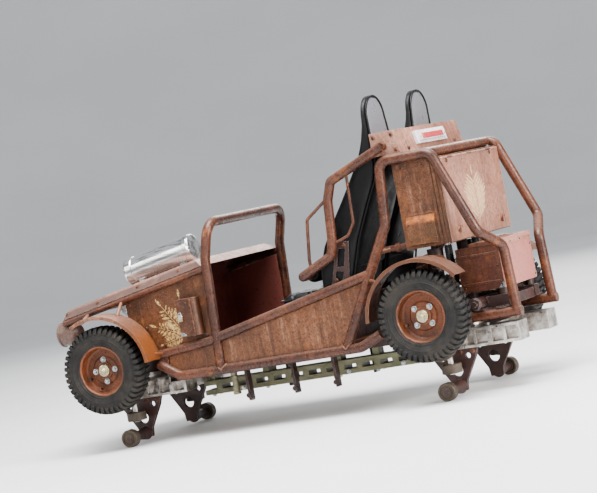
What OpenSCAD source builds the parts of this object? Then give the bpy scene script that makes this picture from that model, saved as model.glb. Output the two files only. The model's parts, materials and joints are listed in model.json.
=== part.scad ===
// Two-seat coaster car dressed as a rusty off-road buggy, on two railed bogies.
// +X is forward, +Y is the car's left side and +Z is up. Zero lies on the floor
// under the middle of the car, which stands on the lowest rail wheels.

/* [Running gear] */
// Distance between the front and rear bogie pivots
wheelbase = 1580; // [1500:10:1640]
// Distance of the middle between the pivots ahead of the car's middle
wheelbase_shift = 32; // [20:1:40]
// Distance between the middles of a left and a right road tyre
track = 950; // [940:1:980]
// Outer diameter of a road tyre over its lugs
tyre_d = 400; // [380:1:404]
// Width of a road tyre at its side walls
tyre_w = 114; // [100:1:118]
// Depth of the tread between a road tyre's lugs
lug_h = 12; // [8:1:16]
// Number of lugs round a road tyre
lugs = 37; // [30:1:37]
// Diameter of the road wheel's rim at its lip
rim_d = 226; // [210:1:236]
// Diameter of the circle of a road wheel's bolts
bolt_circle = 100; // [96:1:104]
// Height of the front road wheels' axis
front_hub_z = 372; // [366:1:380]
// Height of the rear road wheels' axis
rear_hub_z = 385; // [376:1:392]
// Distance between the middles of the rail tubes that the car runs on
rail_gauge = 760; // [740:1:780]
// Outer diameter of the rail tube
rail_d = 90; // [84:1:96]
// Diameter of a running wheel on top of the rail
run_wheel_d = 160; // [140:1:166]
// Width of a running wheel
run_wheel_w = 50; // [40:1:60]
// Diameter of a guide wheel at the rail's inner side
guide_wheel_d = 90; // [80:1:96]
// Diameter of an up-stop wheel under the rail
stop_wheel_d = 80; // [70:1:84]
// Width of a guide wheel and of an up-stop wheel
small_wheel_w = 40; // [30:1:44]
// Air between the up-stop wheel and the rail
stop_gap = 3; // [2:0.5:6]
// Diameter of the road wheels' stub axles
stub_d = 35; // [30:1:38]
// Diameter of the running wheels' axle
run_axle_d = 40; // [36:1:46]
// Diameter of the guide and up-stop wheels' pins
pin_d = 25; // [20:1:28]
// Diameter of the bogies' pivot pins
kingpin_d = 50; // [44:1:56]

/* [Tube frame] */
// Distance between the middles of the left and right side tubes
body_w = 770; // [764:1:776]
// Diameter of the main frame tubes
tube_d = 44.5; // [42:0.5:48]
// Diameter of the tube between the tyre and the windscreen pillar
mid_tube_d = 40; // [36:0.5:42]
// Diameter of the tube along the bonnet's edge
edge_tube_d = 30; // [26:1:34]
// Bend radius of the frame tubes' middle line
bend_r = 70; // [60:1:80]
// Bend radius of the roll cage's middle line
cage_bend_r = 45; // [40:1:52]
// Height of the sill tubes' axis
sill_z = 286; // [280:1:292]
// Distance between the middles of the tail tubes at the bottom
tail_w = 456; // [440:1:470]
// Height of the tail tubes' lowest run
tail_z = 326; // [320:1:332]

/* [Chassis] */
// Width of the spine that joins the bogies
spine_w = 120; // [100:2:140]
// Height of the spine over the bogies
spine_h = 56; // [48:1:60]
// Height of the spine's underside over the bogies
spine_z = 300; // [296:1:310]
// Width of the slotted centre beam
beam_w = 90; // [84:1:110]
// Height of the slotted centre beam
beam_h = 65; // [60:1:80]
// Height of the centre beam's underside
beam_z = 150; // [140:1:160]
// Diameter of the centre beam's bolt holes
beam_hole_d = 13; // [11:0.5:15]
// Height of the bogies' cast block
bogie_h = 83; // [70:1:86]
// Height of the underside of the bogies' cast block
bogie_z = 199; // [190:1:204]
// Width of the bogies' cast block
bogie_w = 480; // [440:5:500]

/* [Body sheets] */
// Thickness of the body sheets
sheet_t = 4; // [3:0.5:5]
// Fall of the bonnet for each millimetre forward
bonnet_fall = 0.18; // [0.16:0.005:0.2]
// Height of the bonnet's top at its rear edge
bonnet_z = 794; // [786:1:800]
// Place of the bonnet's rear edge along the car
bonnet_back_x = 301; // [300:1:306]
// Place of the bonnet's nose along the car
bonnet_nose_x = 1109; // [1060:1:1120]
// Drop and width of the bonnet's sloping edges
bonnet_edge = 38; // [30:1:44]
// Diameter of the air cylinder on the bonnet
air_d = 136; // [120:1:140]
// Length of the air cylinder on the bonnet
air_l = 370; // [340:5:400]
// Diameter of a headlamp at its rim
lamp_d = 108; // [90:1:112]
// Inner radius of the wings over the wheels
wing_r = 245; // [236:1:252]
// Width of a wing
wing_w = 120; // [100:1:130]
// Depth of the turned-down outer edge of a wing
wing_lip = 12; // [6:1:16]

/* [Lockers] */
// Width of the upper locker behind the seats
locker_w = 704; // [680:1:710]
// Depth of the upper locker along the car
locker_l = 214; // [190:1:220]
// Height of the upper locker
locker_h = 373; // [350:1:373]
// Height of the upper locker's underside
locker_z = 664; // [662:1:668]
// Place of the upper locker's rear face along the car
locker_back_x = -898; // [-904:1:-890]
// Margin of the upper locker round its cover
cover_inset = 14; // [10:1:20]
// Width of the lower box at the tail
low_box_w = 400; // [380:1:406]
// Height of the lower box without its lid
low_box_h = 193; // [180:1:200]
// Length of the lower box along the car
low_box_l = 200; // [180:1:210]
// Place of the lower box's rear face along the car
low_box_back_x = -1036; // [-1040:1:-1030]
// Wall of the lockers and boxes
box_wall = 4; // [3:0.5:6]
// Height of the top of the box over the lockers
top_box_top = 1184; // [1160:1:1190]

/* [Seats] */
// Distance from the car's middle to the outer side of a seat
seat_out = 350; // [340:1:352]
// Distance from the car's middle to the inner side of a seat
seat_in = 12; // [8:1:20]
// Thickness of the wings beside a rider
bolster_t = 18; // [14:1:24]
// Sideways place of the middle of a seat's headrest
ear_y = 252; // [240:1:256]
// Width of a seat's headrest
ear_w = 200; // [180:1:204]
// Height of the top of a seat's headrest
ear_top = 1354; // [1330:1:1370]
// Height of the seats' pan
seat_z = 504; // [496:1:510]
// Thickness of a seat's cushion
cushion_t = 56; // [44:1:60]

/* [Restraint] */
// Diameter of the restraint's tube
bar_d = 42; // [38:0.5:44]
// Diameter of the restraint's pivot
pivot_d = 30; // [26:1:32]
// Air between a seat and the restraint's arm beside it
arm_gap = 22; // [18:1:26]
// Diameter of the thin grip rods
grip_d = 14; // [12:0.5:16]
// Diameter of the pad over the riders' laps
pad_d = 90; // [80:1:96]

/* [Hidden] */
fine = 48;
seat_gap = 0.3;
fit_gap = 0.6;
front_x = wheelbase_shift + wheelbase / 2;
rear_x = wheelbase_shift - wheelbase / 2;
rail_top_z = stop_wheel_d + stop_gap + rail_d;
run_z = rail_top_z + run_wheel_d / 2;
guide_z = rail_top_z - rail_d / 2;
guide_y = rail_gauge / 2 - rail_d / 2 - guide_wheel_d / 2;
stop_z = stop_wheel_d / 2;
side_y = body_w / 2;
tail_y = tail_w / 2;
inner_y = side_y - tube_d / 2 - seat_gap;
bar_y = seat_out + arm_gap + bar_d / 2;
top_box_w = 2 * (bar_y - bar_d / 2 - 4);

// Places on the side of the car as [forward, up]
sill_front = [600, 353];
sill_rear = [-505, 330];
sill_kink_front = [500, sill_z];
sill_kink_rear = [-400, sill_z];
hoop_foot = [271, 779];
hoop_top = [228, 940];
pillar_foot = [294, sill_z];
mid_front = [600, 393];
mid_rear = [288, 424];
rail_front = [286, 428];
rail_rear = [-500, 592];
b_foot = [-329, sill_z];
b_knee = [-618, 790];
cage_front = [-643, 1062];
cage_rear = [-883, 1060];
cage_low = [-1028, 695];
tail_knee = [-1071, 612];
tail_corner = [-1080, tail_z];
tail_end_x = -760;

rust = "sienna";
rust_dark = "saddlebrown";
cast = "silver";
black = "#222222";

// A point of the car's side, given as [forward, up], at the sideways place y
function at(p, y) = [p[0], y, p[1]];
function unit(v) = v / norm(v);
function turn(a, b, c) = acos(unit(b - a) * unit(c - b));
function mid(a, b, t) = a + (b - a) * t;
// Height of the straight line through two points of the side, at the place x
function height_at(a, b, x) = a[1] + (b[1] - a[1]) * (x - a[0]) / (b[0] - a[0]);

// A round bar from point a to point b
module rod(a, b, d) {
    v = b - a;
    translate(a)
        rotate([0, acos(v[2] / norm(v)), atan2(v[1], v[0])])
            cylinder(d = d, h = norm(v), $fn = fine);
}

// The bend at corner b of a tube that comes from a and leaves towards c. It is a
// hair thicker than the straight runs, whose ends lie just inside it.
elbow_lip = 0.3;
elbow_lap = 2;
module elbow(a, b, c, d, r) {
    angle = turn(a, b, c);
    u = unit(b - a);
    w = unit(unit(c - b) - u * (u * unit(c - b)));
    start = b - u * r * tan(angle / 2);
    centre = start + w * r;
    z = cross(-w, u);
    multmatrix([[-w[0], u[0], z[0], centre[0]], [-w[1], u[1], z[1], centre[1]],
                [-w[2], u[2], z[2], centre[2]], [0, 0, 0, 1]])
        rotate_extrude(angle = angle, $fn = fine)
            translate([r, 0]) circle(d = d + elbow_lip, $fn = fine);
}

// A bent tube through a list of points, with bends of radius r at each corner
module pipe(pts, d, r) {
    last = len(pts) - 1;
    cut = [for (i = [0:last]) i == 0 || i == last ? 0 : r * tan(turn(pts[i - 1], pts[i],
            pts[i + 1]) / 2)];
    for (i = [0:last - 1]) {
        u = unit(pts[i + 1] - pts[i]);
        rod(pts[i] + u * (cut[i] > 0 ? cut[i] - elbow_lap : 0),
            pts[i + 1] - u * (cut[i + 1] > 0 ? cut[i + 1] - elbow_lap : 0), d);
    }
    for (i = [1:last - 1]) if (cut[i] > 0.01) elbow(pts[i - 1], pts[i], pts[i + 1], d, r);
}

// A plate in a side plane of the car, from y outwards by t, in the outline pts
module side_plate(pts, y, t) {
    translate([0, y + t, 0]) rotate([90, 0, 0]) linear_extrude(t) polygon(pts);
}

// A block between two corners
module block(lo, hi) {
    translate(lo) cube(hi - lo);
}

// An upright round bar that stands on the point p
module cylinder_at(p, d, h) translate(p) cylinder(d = d, h = h, $fn = fine);

// A turned piece round the sideways line through p, from its profile [radius, outwards]
module turned_y(p, profile) translate(p) rotate([-90, 0, 0]) rotate_extrude($fn = 96) polygon(profile);

// A hexagon nut or bolt head round the sideways line through p
module hex_y(p, d, h) translate(p) rotate([-90, 0, 0]) cylinder(d = d, h = h, $fn = 6);

// The same thing on the car's left and right
module both() {
    children();
    mirror([0, 1, 0]) children();
}

// The frame's tubes, thickened where another piece is cut out round them
module sill_tube(d) pipe([at(sill_front, side_y), at(sill_kink_front, side_y), at(sill_kink_rear, side_y),
                          at(sill_rear, side_y)], d, bend_r);
module sill_run(d) rod(at(sill_kink_front, side_y), at(sill_kink_rear, side_y), d);
module pillar_tube(d) rod(at(hoop_foot, side_y), at(pillar_foot, side_y), d);
module mid_tube(d) rod(at(mid_front, side_y), at(mid_rear, side_y), d);
module rail_tube(d) rod(at(rail_front, side_y), at(rail_rear, side_y), d);
module b_tube(d) rod(at(b_foot, side_y), at(b_knee, side_y), d);
module edge_tube(d)
    rod(at([bonnet_back_x - 20, edge_tube_z(bonnet_back_x - 20)], side_y),
        at([bonnet_nose_x - 60, edge_tube_z(bonnet_nose_x - 60)], side_y), d);
function bonnet_top(x) = bonnet_z - bonnet_fall * (x - bonnet_back_x);
bonnet_slant = sqrt(1 + bonnet_fall * bonnet_fall);
function edge_tube_z(x) = bonnet_top(x) - (bonnet_edge + edge_tube_d / 2 + seat_gap) * bonnet_slant;

floor_z = sill_z + tube_d / 2;
floor_rear_x = -330;
floor_front_x = 560;
cross_x = [-300, -178, 26, 260, 520];
cross_h = 40;
hanger_x = [-178, 26, 260];
spine_slope_x = [-540, -500, 590, 640];
spine_low_z = beam_z + beam_h + 35;
module chassis_spine() color(rust_dark) {
    difference() {
        union() {
            translate([0, spine_w / 2, 0]) rotate([90, 0, 0]) linear_extrude(spine_w)
                polygon([[rear_x - 110, spine_z], [rear_x - 110, spine_z + spine_h],
                         [spine_slope_x[0], spine_z + spine_h], [spine_slope_x[1], floor_z - seat_gap],
                         [spine_slope_x[2] - 20, floor_z - seat_gap],
                         [spine_slope_x[3] - 20, spine_z + spine_h], [front_x + 110, spine_z + spine_h],
                         [front_x + 110, spine_z], [spine_slope_x[3], spine_z],
                         [spine_slope_x[2], spine_low_z], [spine_slope_x[1], spine_low_z],
                         [spine_slope_x[0], spine_z]]);
            for (x = [front_x, rear_x]) cylinder_at([x, 0, spine_z], 150, spine_h);
        }
        for (x = [front_x, rear_x]) cylinder_at([x, 0, spine_z - 10], kingpin_d + 0.1, spine_h + 20);
    }
    for (x = cross_x) block([x - 20, -inner_y, floor_z - cross_h], [x + 20, inner_y, floor_z - seat_gap]);
    both() for (x = hanger_x) {
        block([x - 6, 192, 118], [x + 6, 232, floor_z - cross_h + 1]);
        hex_y([x, 231, 140], 24, 12);
    }
}

beam_pitch = 90;
slot_l = 60;
flange_t = 22;
beam_rear_x = -520;
beam_front_x = 580;
mount_x = [-35, 55];
mount_y = 30;
module centre_beam() color("darkkhaki") {
    difference() {
        block([beam_rear_x, -beam_w / 2, beam_z], [beam_front_x, beam_w / 2, beam_z + beam_h]);
        for (x = [beam_rear_x + 50:beam_pitch:beam_front_x - slot_l])
            block([x, -beam_w, beam_z + flange_t], [x + slot_l, beam_w, beam_z + beam_h - flange_t]);
        for (x = mount_x, y = [-mount_y, mount_y])
            cylinder_at([x, y, beam_z - 1], beam_hole_d, beam_h + 2);
    }
    for (x = [-300, -110, 260, 540])
        block([x - 15, -30, beam_z + beam_h - 1], [x + 15, 30, spine_low_z - seat_gap]);
}

module floor_pan() color(rust_dark)
    block([floor_rear_x, -inner_y, floor_z], [floor_front_x, inner_y, floor_z + sheet_t]);

module side_frame() color(rust) {
    sill_tube(tube_d);
    difference() {
        union() {
            mid_tube(mid_tube_d);
            edge_tube(edge_tube_d);
            rail_tube(tube_d - 1);
        }
        pillar_tube(tube_d + fit_gap);
        b_tube(tube_d + fit_gap);
    }
    side_plate([[sill_front[0] - 50, height_at(sill_kink_front, sill_front, sill_front[0] - 50)],
                [sill_front[0] - 2, sill_front[1]], [sill_front[0] - 2, mid_front[1]],
                [sill_front[0] - 50, height_at(mid_front, mid_rear, sill_front[0] - 50)]], side_y - 3, 6);
}
module side_frame_left() side_frame();
module side_frame_right() mirror([0, 1, 0]) side_frame();

module windscreen_hoop() color(rust) {
    ends = [for (s = [1, -1]) [at(pillar_foot, s * side_y), at(hoop_foot, s * side_y),
                               at(hoop_top, s * side_y)]];
    difference() {
        pipe([ends[0][0], ends[0][1], ends[0][2], ends[1][2], ends[1][1], ends[1][0]], tube_d, bend_r);
        both() sill_run(tube_d + fit_gap);
    }
}

bracket_h = 36;
module roll_cage() color(rust) {
    difference() {
        pipe([at(b_foot, side_y), at(b_knee, side_y), at(cage_front, side_y), at(cage_rear, side_y),
              at(cage_low, side_y), at(tail_knee, tail_y), at(tail_corner, tail_y)], tube_d, cage_bend_r);
        sill_run(tube_d + fit_gap);
    }
    rod(at(tail_corner, tail_y) + [-tube_d / 2, 0, 0], at([tail_end_x, tail_z], tail_y), tube_d - 1);
    // The bracket that ties the locker's front edge to the pillar
    x = locker_back_x + locker_l + seat_gap;
    y = locker_w / 2 - bracket_h / 2;
    z = locker_z + bracket_h / 2 + 1;
    rod([x, y, z], [x + 90, y, z], bracket_h - 8);
    rod([x + 82, y - 4, z], [x + 125, side_y, z], bracket_h - 8);
    translate([x, y, z]) rotate([0, 90, 0]) cylinder(d = bracket_h, h = 10, $fn = fine);
    translate([x + 36, y, z]) rotate([0, 90, 0]) cylinder(d = bracket_h + 4, h = 20, $fn = 6);
}
cross_tube_x = [-690, -850];
module cage_cross_tubes() color(rust)
    for (x = cross_tube_x) rod([x, -inner_y + seat_gap, cage_rear[1]],
                               [x, inner_y - seat_gap, cage_rear[1]], tube_d);
module roll_cage_left() roll_cage();
module roll_cage_right() mirror([0, 1, 0]) roll_cage();

tail_rail_y = 165;
tail_rail_w = 50;
tail_top_z = tail_z + tube_d / 2 + 54;
damper_x = -735;
hose_d = 22;
hose_places = [[-795, 177], [-795, 152]];
boss_x = -915;
module tail_frame() color(rust_dark) {
    both() block([low_box_back_x - 4, tail_rail_y - tail_rail_w / 2, tail_top_z - 50],
                 [-600, tail_rail_y + tail_rail_w / 2, tail_top_z]);
    for (x = [-1030, -860, -640]) block([x, -tail_rail_y + 15, tail_top_z - 46],
                                        [x + 40, tail_rail_y - 15, tail_top_z - 10]);
    for (x = [-1030, boss_x - 20])
        block([x, -tail_y - 15, tail_z + tube_d / 2 + seat_gap], [x + 40, tail_y + 15, tail_top_z - 45]);
    // A towing boss with its bolt on each side
    both() {
        turned_y([boss_x, tail_rail_y + 15, tail_top_z - 20],
                 [[0, 0], [26, 0], [26, 78], [28, 82], [28, 98], [22, 102], [22, 108], [0, 108]]);
        hex_y([boss_x, tail_rail_y + 120, tail_top_z - 20], 30, 16);
    }
    both() for (x = [-1010, -870])
        cylinder_at([x, tail_rail_y, tail_top_z - 1], 40, low_box_z - seat_gap - tail_top_z + 1);
    // The dampers that carry the upper locker, as [diameter, lower end, upper end]
    both() for (p = [[46, tail_top_z - 1, 560], [26, 559, 600], [70, 598, 646],
                     [30, 645, locker_z - seat_gap]])
        cylinder_at([damper_x, tail_rail_y + 10, p[1]], p[0], p[2] - p[1]);
    // Bellows hoses from the rail up to the upper locker's floor
    both() for (p = hose_places)
        cylinder_at([p[0], p[1], tail_top_z - 1], hose_d, locker_z - seat_gap - tail_top_z + 1);
}

// The bonnet's outline seen from above, set in by d all round
nose_cut_l = 60;
nose_cut_w = 80;
function bonnet_outline(l, half, d) = [[d, -half + d], [l - nose_cut_l - d / 2, -half + d],
                                       [l - d, -half + nose_cut_w + d / 2],
                                       [l - d, half - nose_cut_w - d / 2],
                                       [l - nose_cut_l - d / 2, half - d], [d, half - d]];
module bonnet_form(l, half, drop, d) hull() {
    translate([0, 0, -drop]) linear_extrude(0.01) polygon(bonnet_outline(l, half, d));
    translate([0, 0, -0.01 - d]) linear_extrude(0.01) polygon(bonnet_outline(l, half, bonnet_edge + d));
}
module bonnet() color("rosybrown") {
    half = side_y + 10;
    l = (bonnet_nose_x - bonnet_back_x) * bonnet_slant;
    translate([bonnet_back_x, 0, bonnet_z]) rotate([0, atan(bonnet_fall), 0]) difference() {
        bonnet_form(l, half, bonnet_edge, 0);
        bonnet_form(l, half, bonnet_edge + 1, sheet_t);
    }
}

air_x = 500;
cradle_h = 11;
module air_cylinder() color("silver") translate([air_x, 0, bonnet_top(air_x)])
    rotate([0, atan(bonnet_fall), 0]) {
    r = air_d / 2;
    translate([0, 0, r + cradle_h]) rotate([0, 90, 0]) rotate_extrude($fn = 96)
        polygon([[0, 0], [r - 12, 0], [r - 6, 2], [r - 2, 6], [r, 12], [r, 30], [r - 3, 34],
                 [r - 3, air_l - 46], [r, air_l - 42], [r, air_l - 14], [r - 2, air_l - 7],
                 [r - 6, air_l - 2], [r - 12, air_l], [0, air_l]]);
    for (x = [50, air_l - 90]) difference() {
        block([x, -50, seat_gap], [x + 30, 50, 30]);
        translate([x - 1, 0, r + cradle_h]) rotate([0, 90, 0]) cylinder(r = r - 4, h = 32, $fn = fine);
    }
}

lamp_x = 990;
lamp_y = 338;
lamp_z = 553;
module headlamps() color(rust) both() translate([lamp_x, lamp_y, lamp_z]) {
    r = lamp_d / 2;
    rotate([0, 90, 0]) rotate_extrude($fn = 96)
        polygon([[0, 0], [r * 0.3, 2], [r * 0.55, 8], [r * 0.76, 18], [r * 0.9, 32], [r * 0.97, 48],
                 [r, 66], [r, 104], [r - 2, 108], [r - 8, 108], [r - 10, 100], [0, 96]]);
    top = bonnet_top(lamp_x + 39) - (sheet_t + seat_gap) * bonnet_slant - lamp_z;
    cylinder_at([30, 0, r - 14], 18, top - r + 14);
}

cowl_y = side_y - edge_tube_d / 2 - sheet_t - seat_gap;
cowl_outline = [[270, 731], [748, 645], [742, 612], [700, 570], [640, 500], [600, 408], [270, 436]];
module cowl_side() color(rust_dark) difference() {
    side_plate(cowl_outline, cowl_y, sheet_t);
    pillar_tube(tube_d + fit_gap);
    mid_tube(mid_tube_d + fit_gap);
    block([200, 0, 300], [291, 500, 900]);
}
module cowl_side_left() cowl_side();
module cowl_side_right() mirror([0, 1, 0]) cowl_side();

// A tool box on the cowl's side: its rear edge is rounded and its door is flat
box_y = cowl_y + sheet_t + seat_gap;
box_x = [346, 440];
box_z = [458, 626];
box_d = 52;
box_round = 26;
// The box's form from above with its wall left off, from w inwards
module box_form(w) {
    middle = [box_x[0] + box_round, box_y + box_d - box_round];
    translate([middle[0], box_y + w]) square([box_x[1] - w - middle[0], box_d]);
    translate([box_x[0] + w, box_y + w]) square([box_round, box_d - box_round - w]);
    translate(middle) circle(r = box_round - w, $fn = fine);
}
module cowl_box() color(rust_dark) difference() {
    translate([0, 0, box_z[0]]) linear_extrude(box_z[1] - box_z[0]) intersection() {
        box_form(0);
        translate([0, box_y]) square([box_x[1], box_d]);
    }
    translate([0, 0, box_z[0] + box_wall]) linear_extrude(box_z[1] - box_z[0] - 2 * box_wall)
        box_form(box_wall);
}
module cowl_box_left() cowl_box();
module cowl_box_right() mirror([0, 1, 0]) cowl_box();

hinge_d = 10;
door_y = box_y + box_d + seat_gap;
door_hinge = [box_x[0] + box_round - 4, door_y + hinge_d / 2];
module cowl_door() color(rust_dark) {
    block([box_x[0] + box_round, door_y, box_z[0]], [box_x[1], door_y + 4, box_z[1]]);
    cylinder_at([door_hinge[0], door_hinge[1], box_z[0]], hinge_d, box_z[1] - box_z[0]);
    turned_y([box_x[1] - 16, door_y + 3, (box_z[0] + box_z[1]) / 2 + 8],
             [[0, 0], [9, 0], [9, 7], [7, 9], [0, 9]]);
}
module cowl_door_left() cowl_door();
module cowl_door_right() mirror([0, 1, 0]) cowl_door();

module bulkhead() color(black) {
    top = bonnet_top(floor_front_x + 1 + sheet_t) - (sheet_t + seat_gap) * bonnet_slant;
    translate([floor_front_x + 1, 0, 0]) rotate([90, 0, 90]) linear_extrude(sheet_t)
        polygon([[-inner_y, floor_z], [inner_y, floor_z], [inner_y, top - bonnet_edge * bonnet_slant],
                 [side_y - bonnet_edge, top], [bonnet_edge - side_y, top],
                 [-inner_y, top - bonnet_edge * bonnet_slant]]);
}

module side_panels() color(rust) both() difference() {
    union() {
        side_plate([[285, 432], [-500, 592], [-345, 300], [285, 300]], side_y - 6, sheet_t);
        side_plate([[296, 300], [500, 300], [590, 362], [590, 392], [296, 420]], side_y - 6, sheet_t);
    }
    pillar_tube(tube_d + fit_gap);
    rail_tube(tube_d + fit_gap);
    b_tube(tube_d + fit_gap);
    mid_tube(mid_tube_d + fit_gap);
    sill_tube(tube_d + fit_gap);
    block([545, 0, 300], [620, 500, 420]);
}

// A wing over a wheel from angle a0 to a1, with its outer edge turned down
module wing(a0, a1) {
    rotate([90, 0, 0]) rotate([0, 0, a0]) rotate_extrude(angle = a1 - a0, $fn = 96)
        polygon([[wing_r - wing_lip, -wing_w / 2], [wing_r + sheet_t, -wing_w / 2],
                 [wing_r + sheet_t, wing_w / 2], [wing_r, wing_w / 2], [wing_r, sheet_t - wing_w / 2],
                 [wing_r - wing_lip, sheet_t - wing_w / 2]]);
}
wing_bar_d = 16;
// Height of the middle of a wing's sheet over the wheel's axis, x from the axis
function wing_rise(x) = sqrt(pow(wing_r + sheet_t / 2, 2) - x * x);
module front_wings() color(rust) both() {
    translate([front_x, track / 2, front_hub_z]) wing(62, 178);
    for (x = [-92, 90]) difference() {
        rod([front_x + x, track / 2 - 20, front_hub_z + wing_rise(x)],
            [front_x + x, side_y, edge_tube_z(front_x + x)], wing_bar_d);
        edge_tube(edge_tube_d + fit_gap);
    }
    difference() {
        rod([front_x - wing_rise(35), track / 2 - 20, front_hub_z + 35],
            at([front_x - wing_r - 10, height_at(mid_front, mid_rear, front_x - wing_r - 10)], side_y),
            wing_bar_d);
        mid_tube(mid_tube_d + fit_gap);
    }
}
module rear_wings() color(rust) both() {
    translate([rear_x, track / 2, rear_hub_z]) wing(2, 142);
    difference() {
        rod([rear_x + 186, track / 2 - 20, rear_hub_z + wing_rise(186)], [-492, side_y, 570], wing_bar_d);
        b_tube(tube_d + fit_gap);
    }
    pipe([[rear_x - 60, track / 2 - 20, rear_hub_z + wing_rise(60)], [rear_x - 60, 300, rear_hub_z + 225],
          [rear_x - 60, tail_rail_y + 10, tail_top_z + wing_bar_d / 2]], wing_bar_d, 30);
}

// The side view of a seat's back: its front, from the bottom up, and its rear
back_front = [[-330, seat_z], [-366, 640], [-402, 740], [-470, 880], [-545, 1010], [-580, 1090],
              [-588, 1150], [-586, ear_top]];
back_rear = [[-611, ear_top], [-611, 1100], [-606, 1010], [-535, 880], [-465, 740], [-430, 640],
             [-392, seat_z]];
// The side view of the wings beside the rider, and their front edge
wing_front = [[-255, seat_z], [-258, 640], [-305, 752], [-370, 852], [-424, 927], [-473, 998],
              [-529, 1081], [-556, 1142], [-590, 1236]];
wing_back = [[-600, 1236], [-600, 1010], [-530, 880], [-460, 740], [-425, 640], [-385, seat_z]];
module seat() color(black) translate([0, 0, seat_gap]) intersection() {
    union() {
        side_plate(concat(back_front, back_rear), seat_in, seat_out - seat_in);
        side_plate(concat(wing_front, wing_back), seat_in, bolster_t);
        side_plate(concat(wing_front, wing_back), seat_out - bolster_t, bolster_t);
    }
    translate([-900, 0, 0]) rotate([90, 0, 90]) linear_extrude(900) {
        polygon([[seat_in, seat_z], [seat_out, seat_z], [seat_out, 1180],
                 [ear_y + ear_w / 2, ear_top - ear_w / 2], [ear_y - ear_w / 2, ear_top - ear_w / 2],
                 [ear_y - ear_w / 2 - 12, 1180], [70, 1000], [seat_in, 860]]);
        translate([ear_y, ear_top - ear_w / 2]) circle(d = ear_w, $fn = 64);
    }
}
module seat_left() seat();
module seat_right() mirror([0, 1, 0]) seat();

pan_t = 4;
frame_y = seat_out + 2;
ladder_outline = [[-290, 534], [-385, 534], [-392, 585], [-420, 748], [-363, 757], [-304, 576]];
ladder_windows = [[[-365, 723], [-398, 721], [-377, 645], [-344, 646]],
                  [[-336, 628], [-372, 622], [-354, 576], [-321, 577]]];
module seat_frame() color(rust_dark) {
    block([-400, -frame_y, seat_z - pan_t], [-20, frame_y, seat_z]);
    for (x = [-300, -40]) block([x, -frame_y, floor_z + sheet_t + seat_gap],
                                [x + 10, frame_y, seat_z - pan_t + 1]);
    both() {
        side_plate([[-330, floor_z + sheet_t + seat_gap], [-20, floor_z + sheet_t + seat_gap], [-10, 484],
                    [-63, 521], [-165, 536], [-385, 536], [-385, seat_z - 2]], frame_y - 1, sheet_t);
        difference() {
            side_plate(ladder_outline, frame_y - 1, sheet_t);
            for (w = ladder_windows) side_plate(w, frame_y - 2, sheet_t + 2);
        }
    }
}

module seat_cushion() color(black)
    block([-322, seat_in + bolster_t + 2 * seat_gap, seat_z + seat_gap],
          [-10, seat_out - bolster_t - 2 * seat_gap, seat_z + cushion_t]);
module seat_cushion_left() seat_cushion();
module seat_cushion_right() mirror([0, 1, 0]) seat_cushion();

top_box_z = cage_rear[1] + tube_d / 2 + seat_gap;
top_box_front_x = -613;
top_box_back = [[-725, top_box_top], [-746, top_box_z]];
pivot = [-671, 1122];
pivot_hold = 60;
module top_box() color(rust) {
    difference() {
        translate([0, top_box_w / 2, 0]) rotate([90, 0, 0]) linear_extrude(top_box_w)
            polygon([[top_box_front_x, top_box_top], top_box_back[0], top_box_back[1],
                     [top_box_front_x, top_box_z]]);
        both() translate([pivot[0], top_box_w / 2 - pivot_hold, pivot[1]]) rotate([-90, 0, 0])
            cylinder(d = pivot_d + 0.1, h = pivot_hold + 1, $fn = fine);
        // The fold line along the rear face
        translate([top_box_back[1][0] - 1, -top_box_w, top_box_z + 12]) cube([3, 2 * top_box_w, 3]);
    }
}
lamp_plate = [340, 60];
module rear_lamp() color("white") {
    m = mid(top_box_back[0], top_box_back[1], 0.5);
    a = atan((top_box_back[0][0] - top_box_back[1][0]) / (top_box_back[0][1] - top_box_back[1][1]));
    translate([m[0], 0, m[1]]) rotate([0, a, 0]) {
        block([-12, -lamp_plate[0] / 2, -lamp_plate[1] / 2],
              [-seat_gap, lamp_plate[0] / 2, lamp_plate[1] / 2]);
        block([-20, 20 - lamp_plate[0] / 2, 12 - lamp_plate[1] / 2],
              [-11, lamp_plate[0] / 2 - 20, lamp_plate[1] / 2 - 12]);
    }
}

side_pad = [-838, -706];
side_pad_z = [680, 805];
side_pad_t = 13;
strip_x = [-893, -848];
module upper_locker() color(rust) {
    difference() {
        block([locker_back_x, -locker_w / 2, locker_z],
              [locker_back_x + locker_l, locker_w / 2, locker_z + locker_h]);
        block([locker_back_x + sheet_t, -locker_w / 2 + box_wall, locker_z + box_wall],
              [locker_back_x + locker_l - box_wall, locker_w / 2 - box_wall,
               locker_z + locker_h - box_wall]);
        block([locker_back_x - 1, -locker_w / 2 + cover_inset, locker_z + cover_inset],
              [locker_back_x + sheet_t + 1, locker_w / 2 - cover_inset,
               locker_z + locker_h - cover_inset]);
    }
    both() {
        // The raised pad on the side, with its sloping top
        translate([side_pad[0], 0, 0]) rotate([90, 0, 90]) linear_extrude(side_pad[1] - side_pad[0])
            polygon([[locker_w / 2 - 1, side_pad_z[0]], [locker_w / 2 + side_pad_t, side_pad_z[0]],
                     [locker_w / 2 + side_pad_t, side_pad_z[1] - 26], [locker_w / 2, side_pad_z[1]],
                     [locker_w / 2 - 1, side_pad_z[1]]]);
        // The folded strip along the rear corner
        difference() {
            block([strip_x[0], locker_w / 2 - 1, locker_z + 2],
                  [strip_x[1], locker_w / 2 + 5, locker_z + locker_h - 16]);
            for (x = [10, 28]) block([strip_x[0] + x, locker_w / 2, locker_z],
                                     [strip_x[0] + x + 7, locker_w, locker_z + locker_h]);
        }
    }
}
cover_gap = 1;
latch_y = 258;
latch_z = 712;
cover_hinge = [locker_back_x - 6, locker_z + locker_h - cover_inset + 4];
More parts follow.
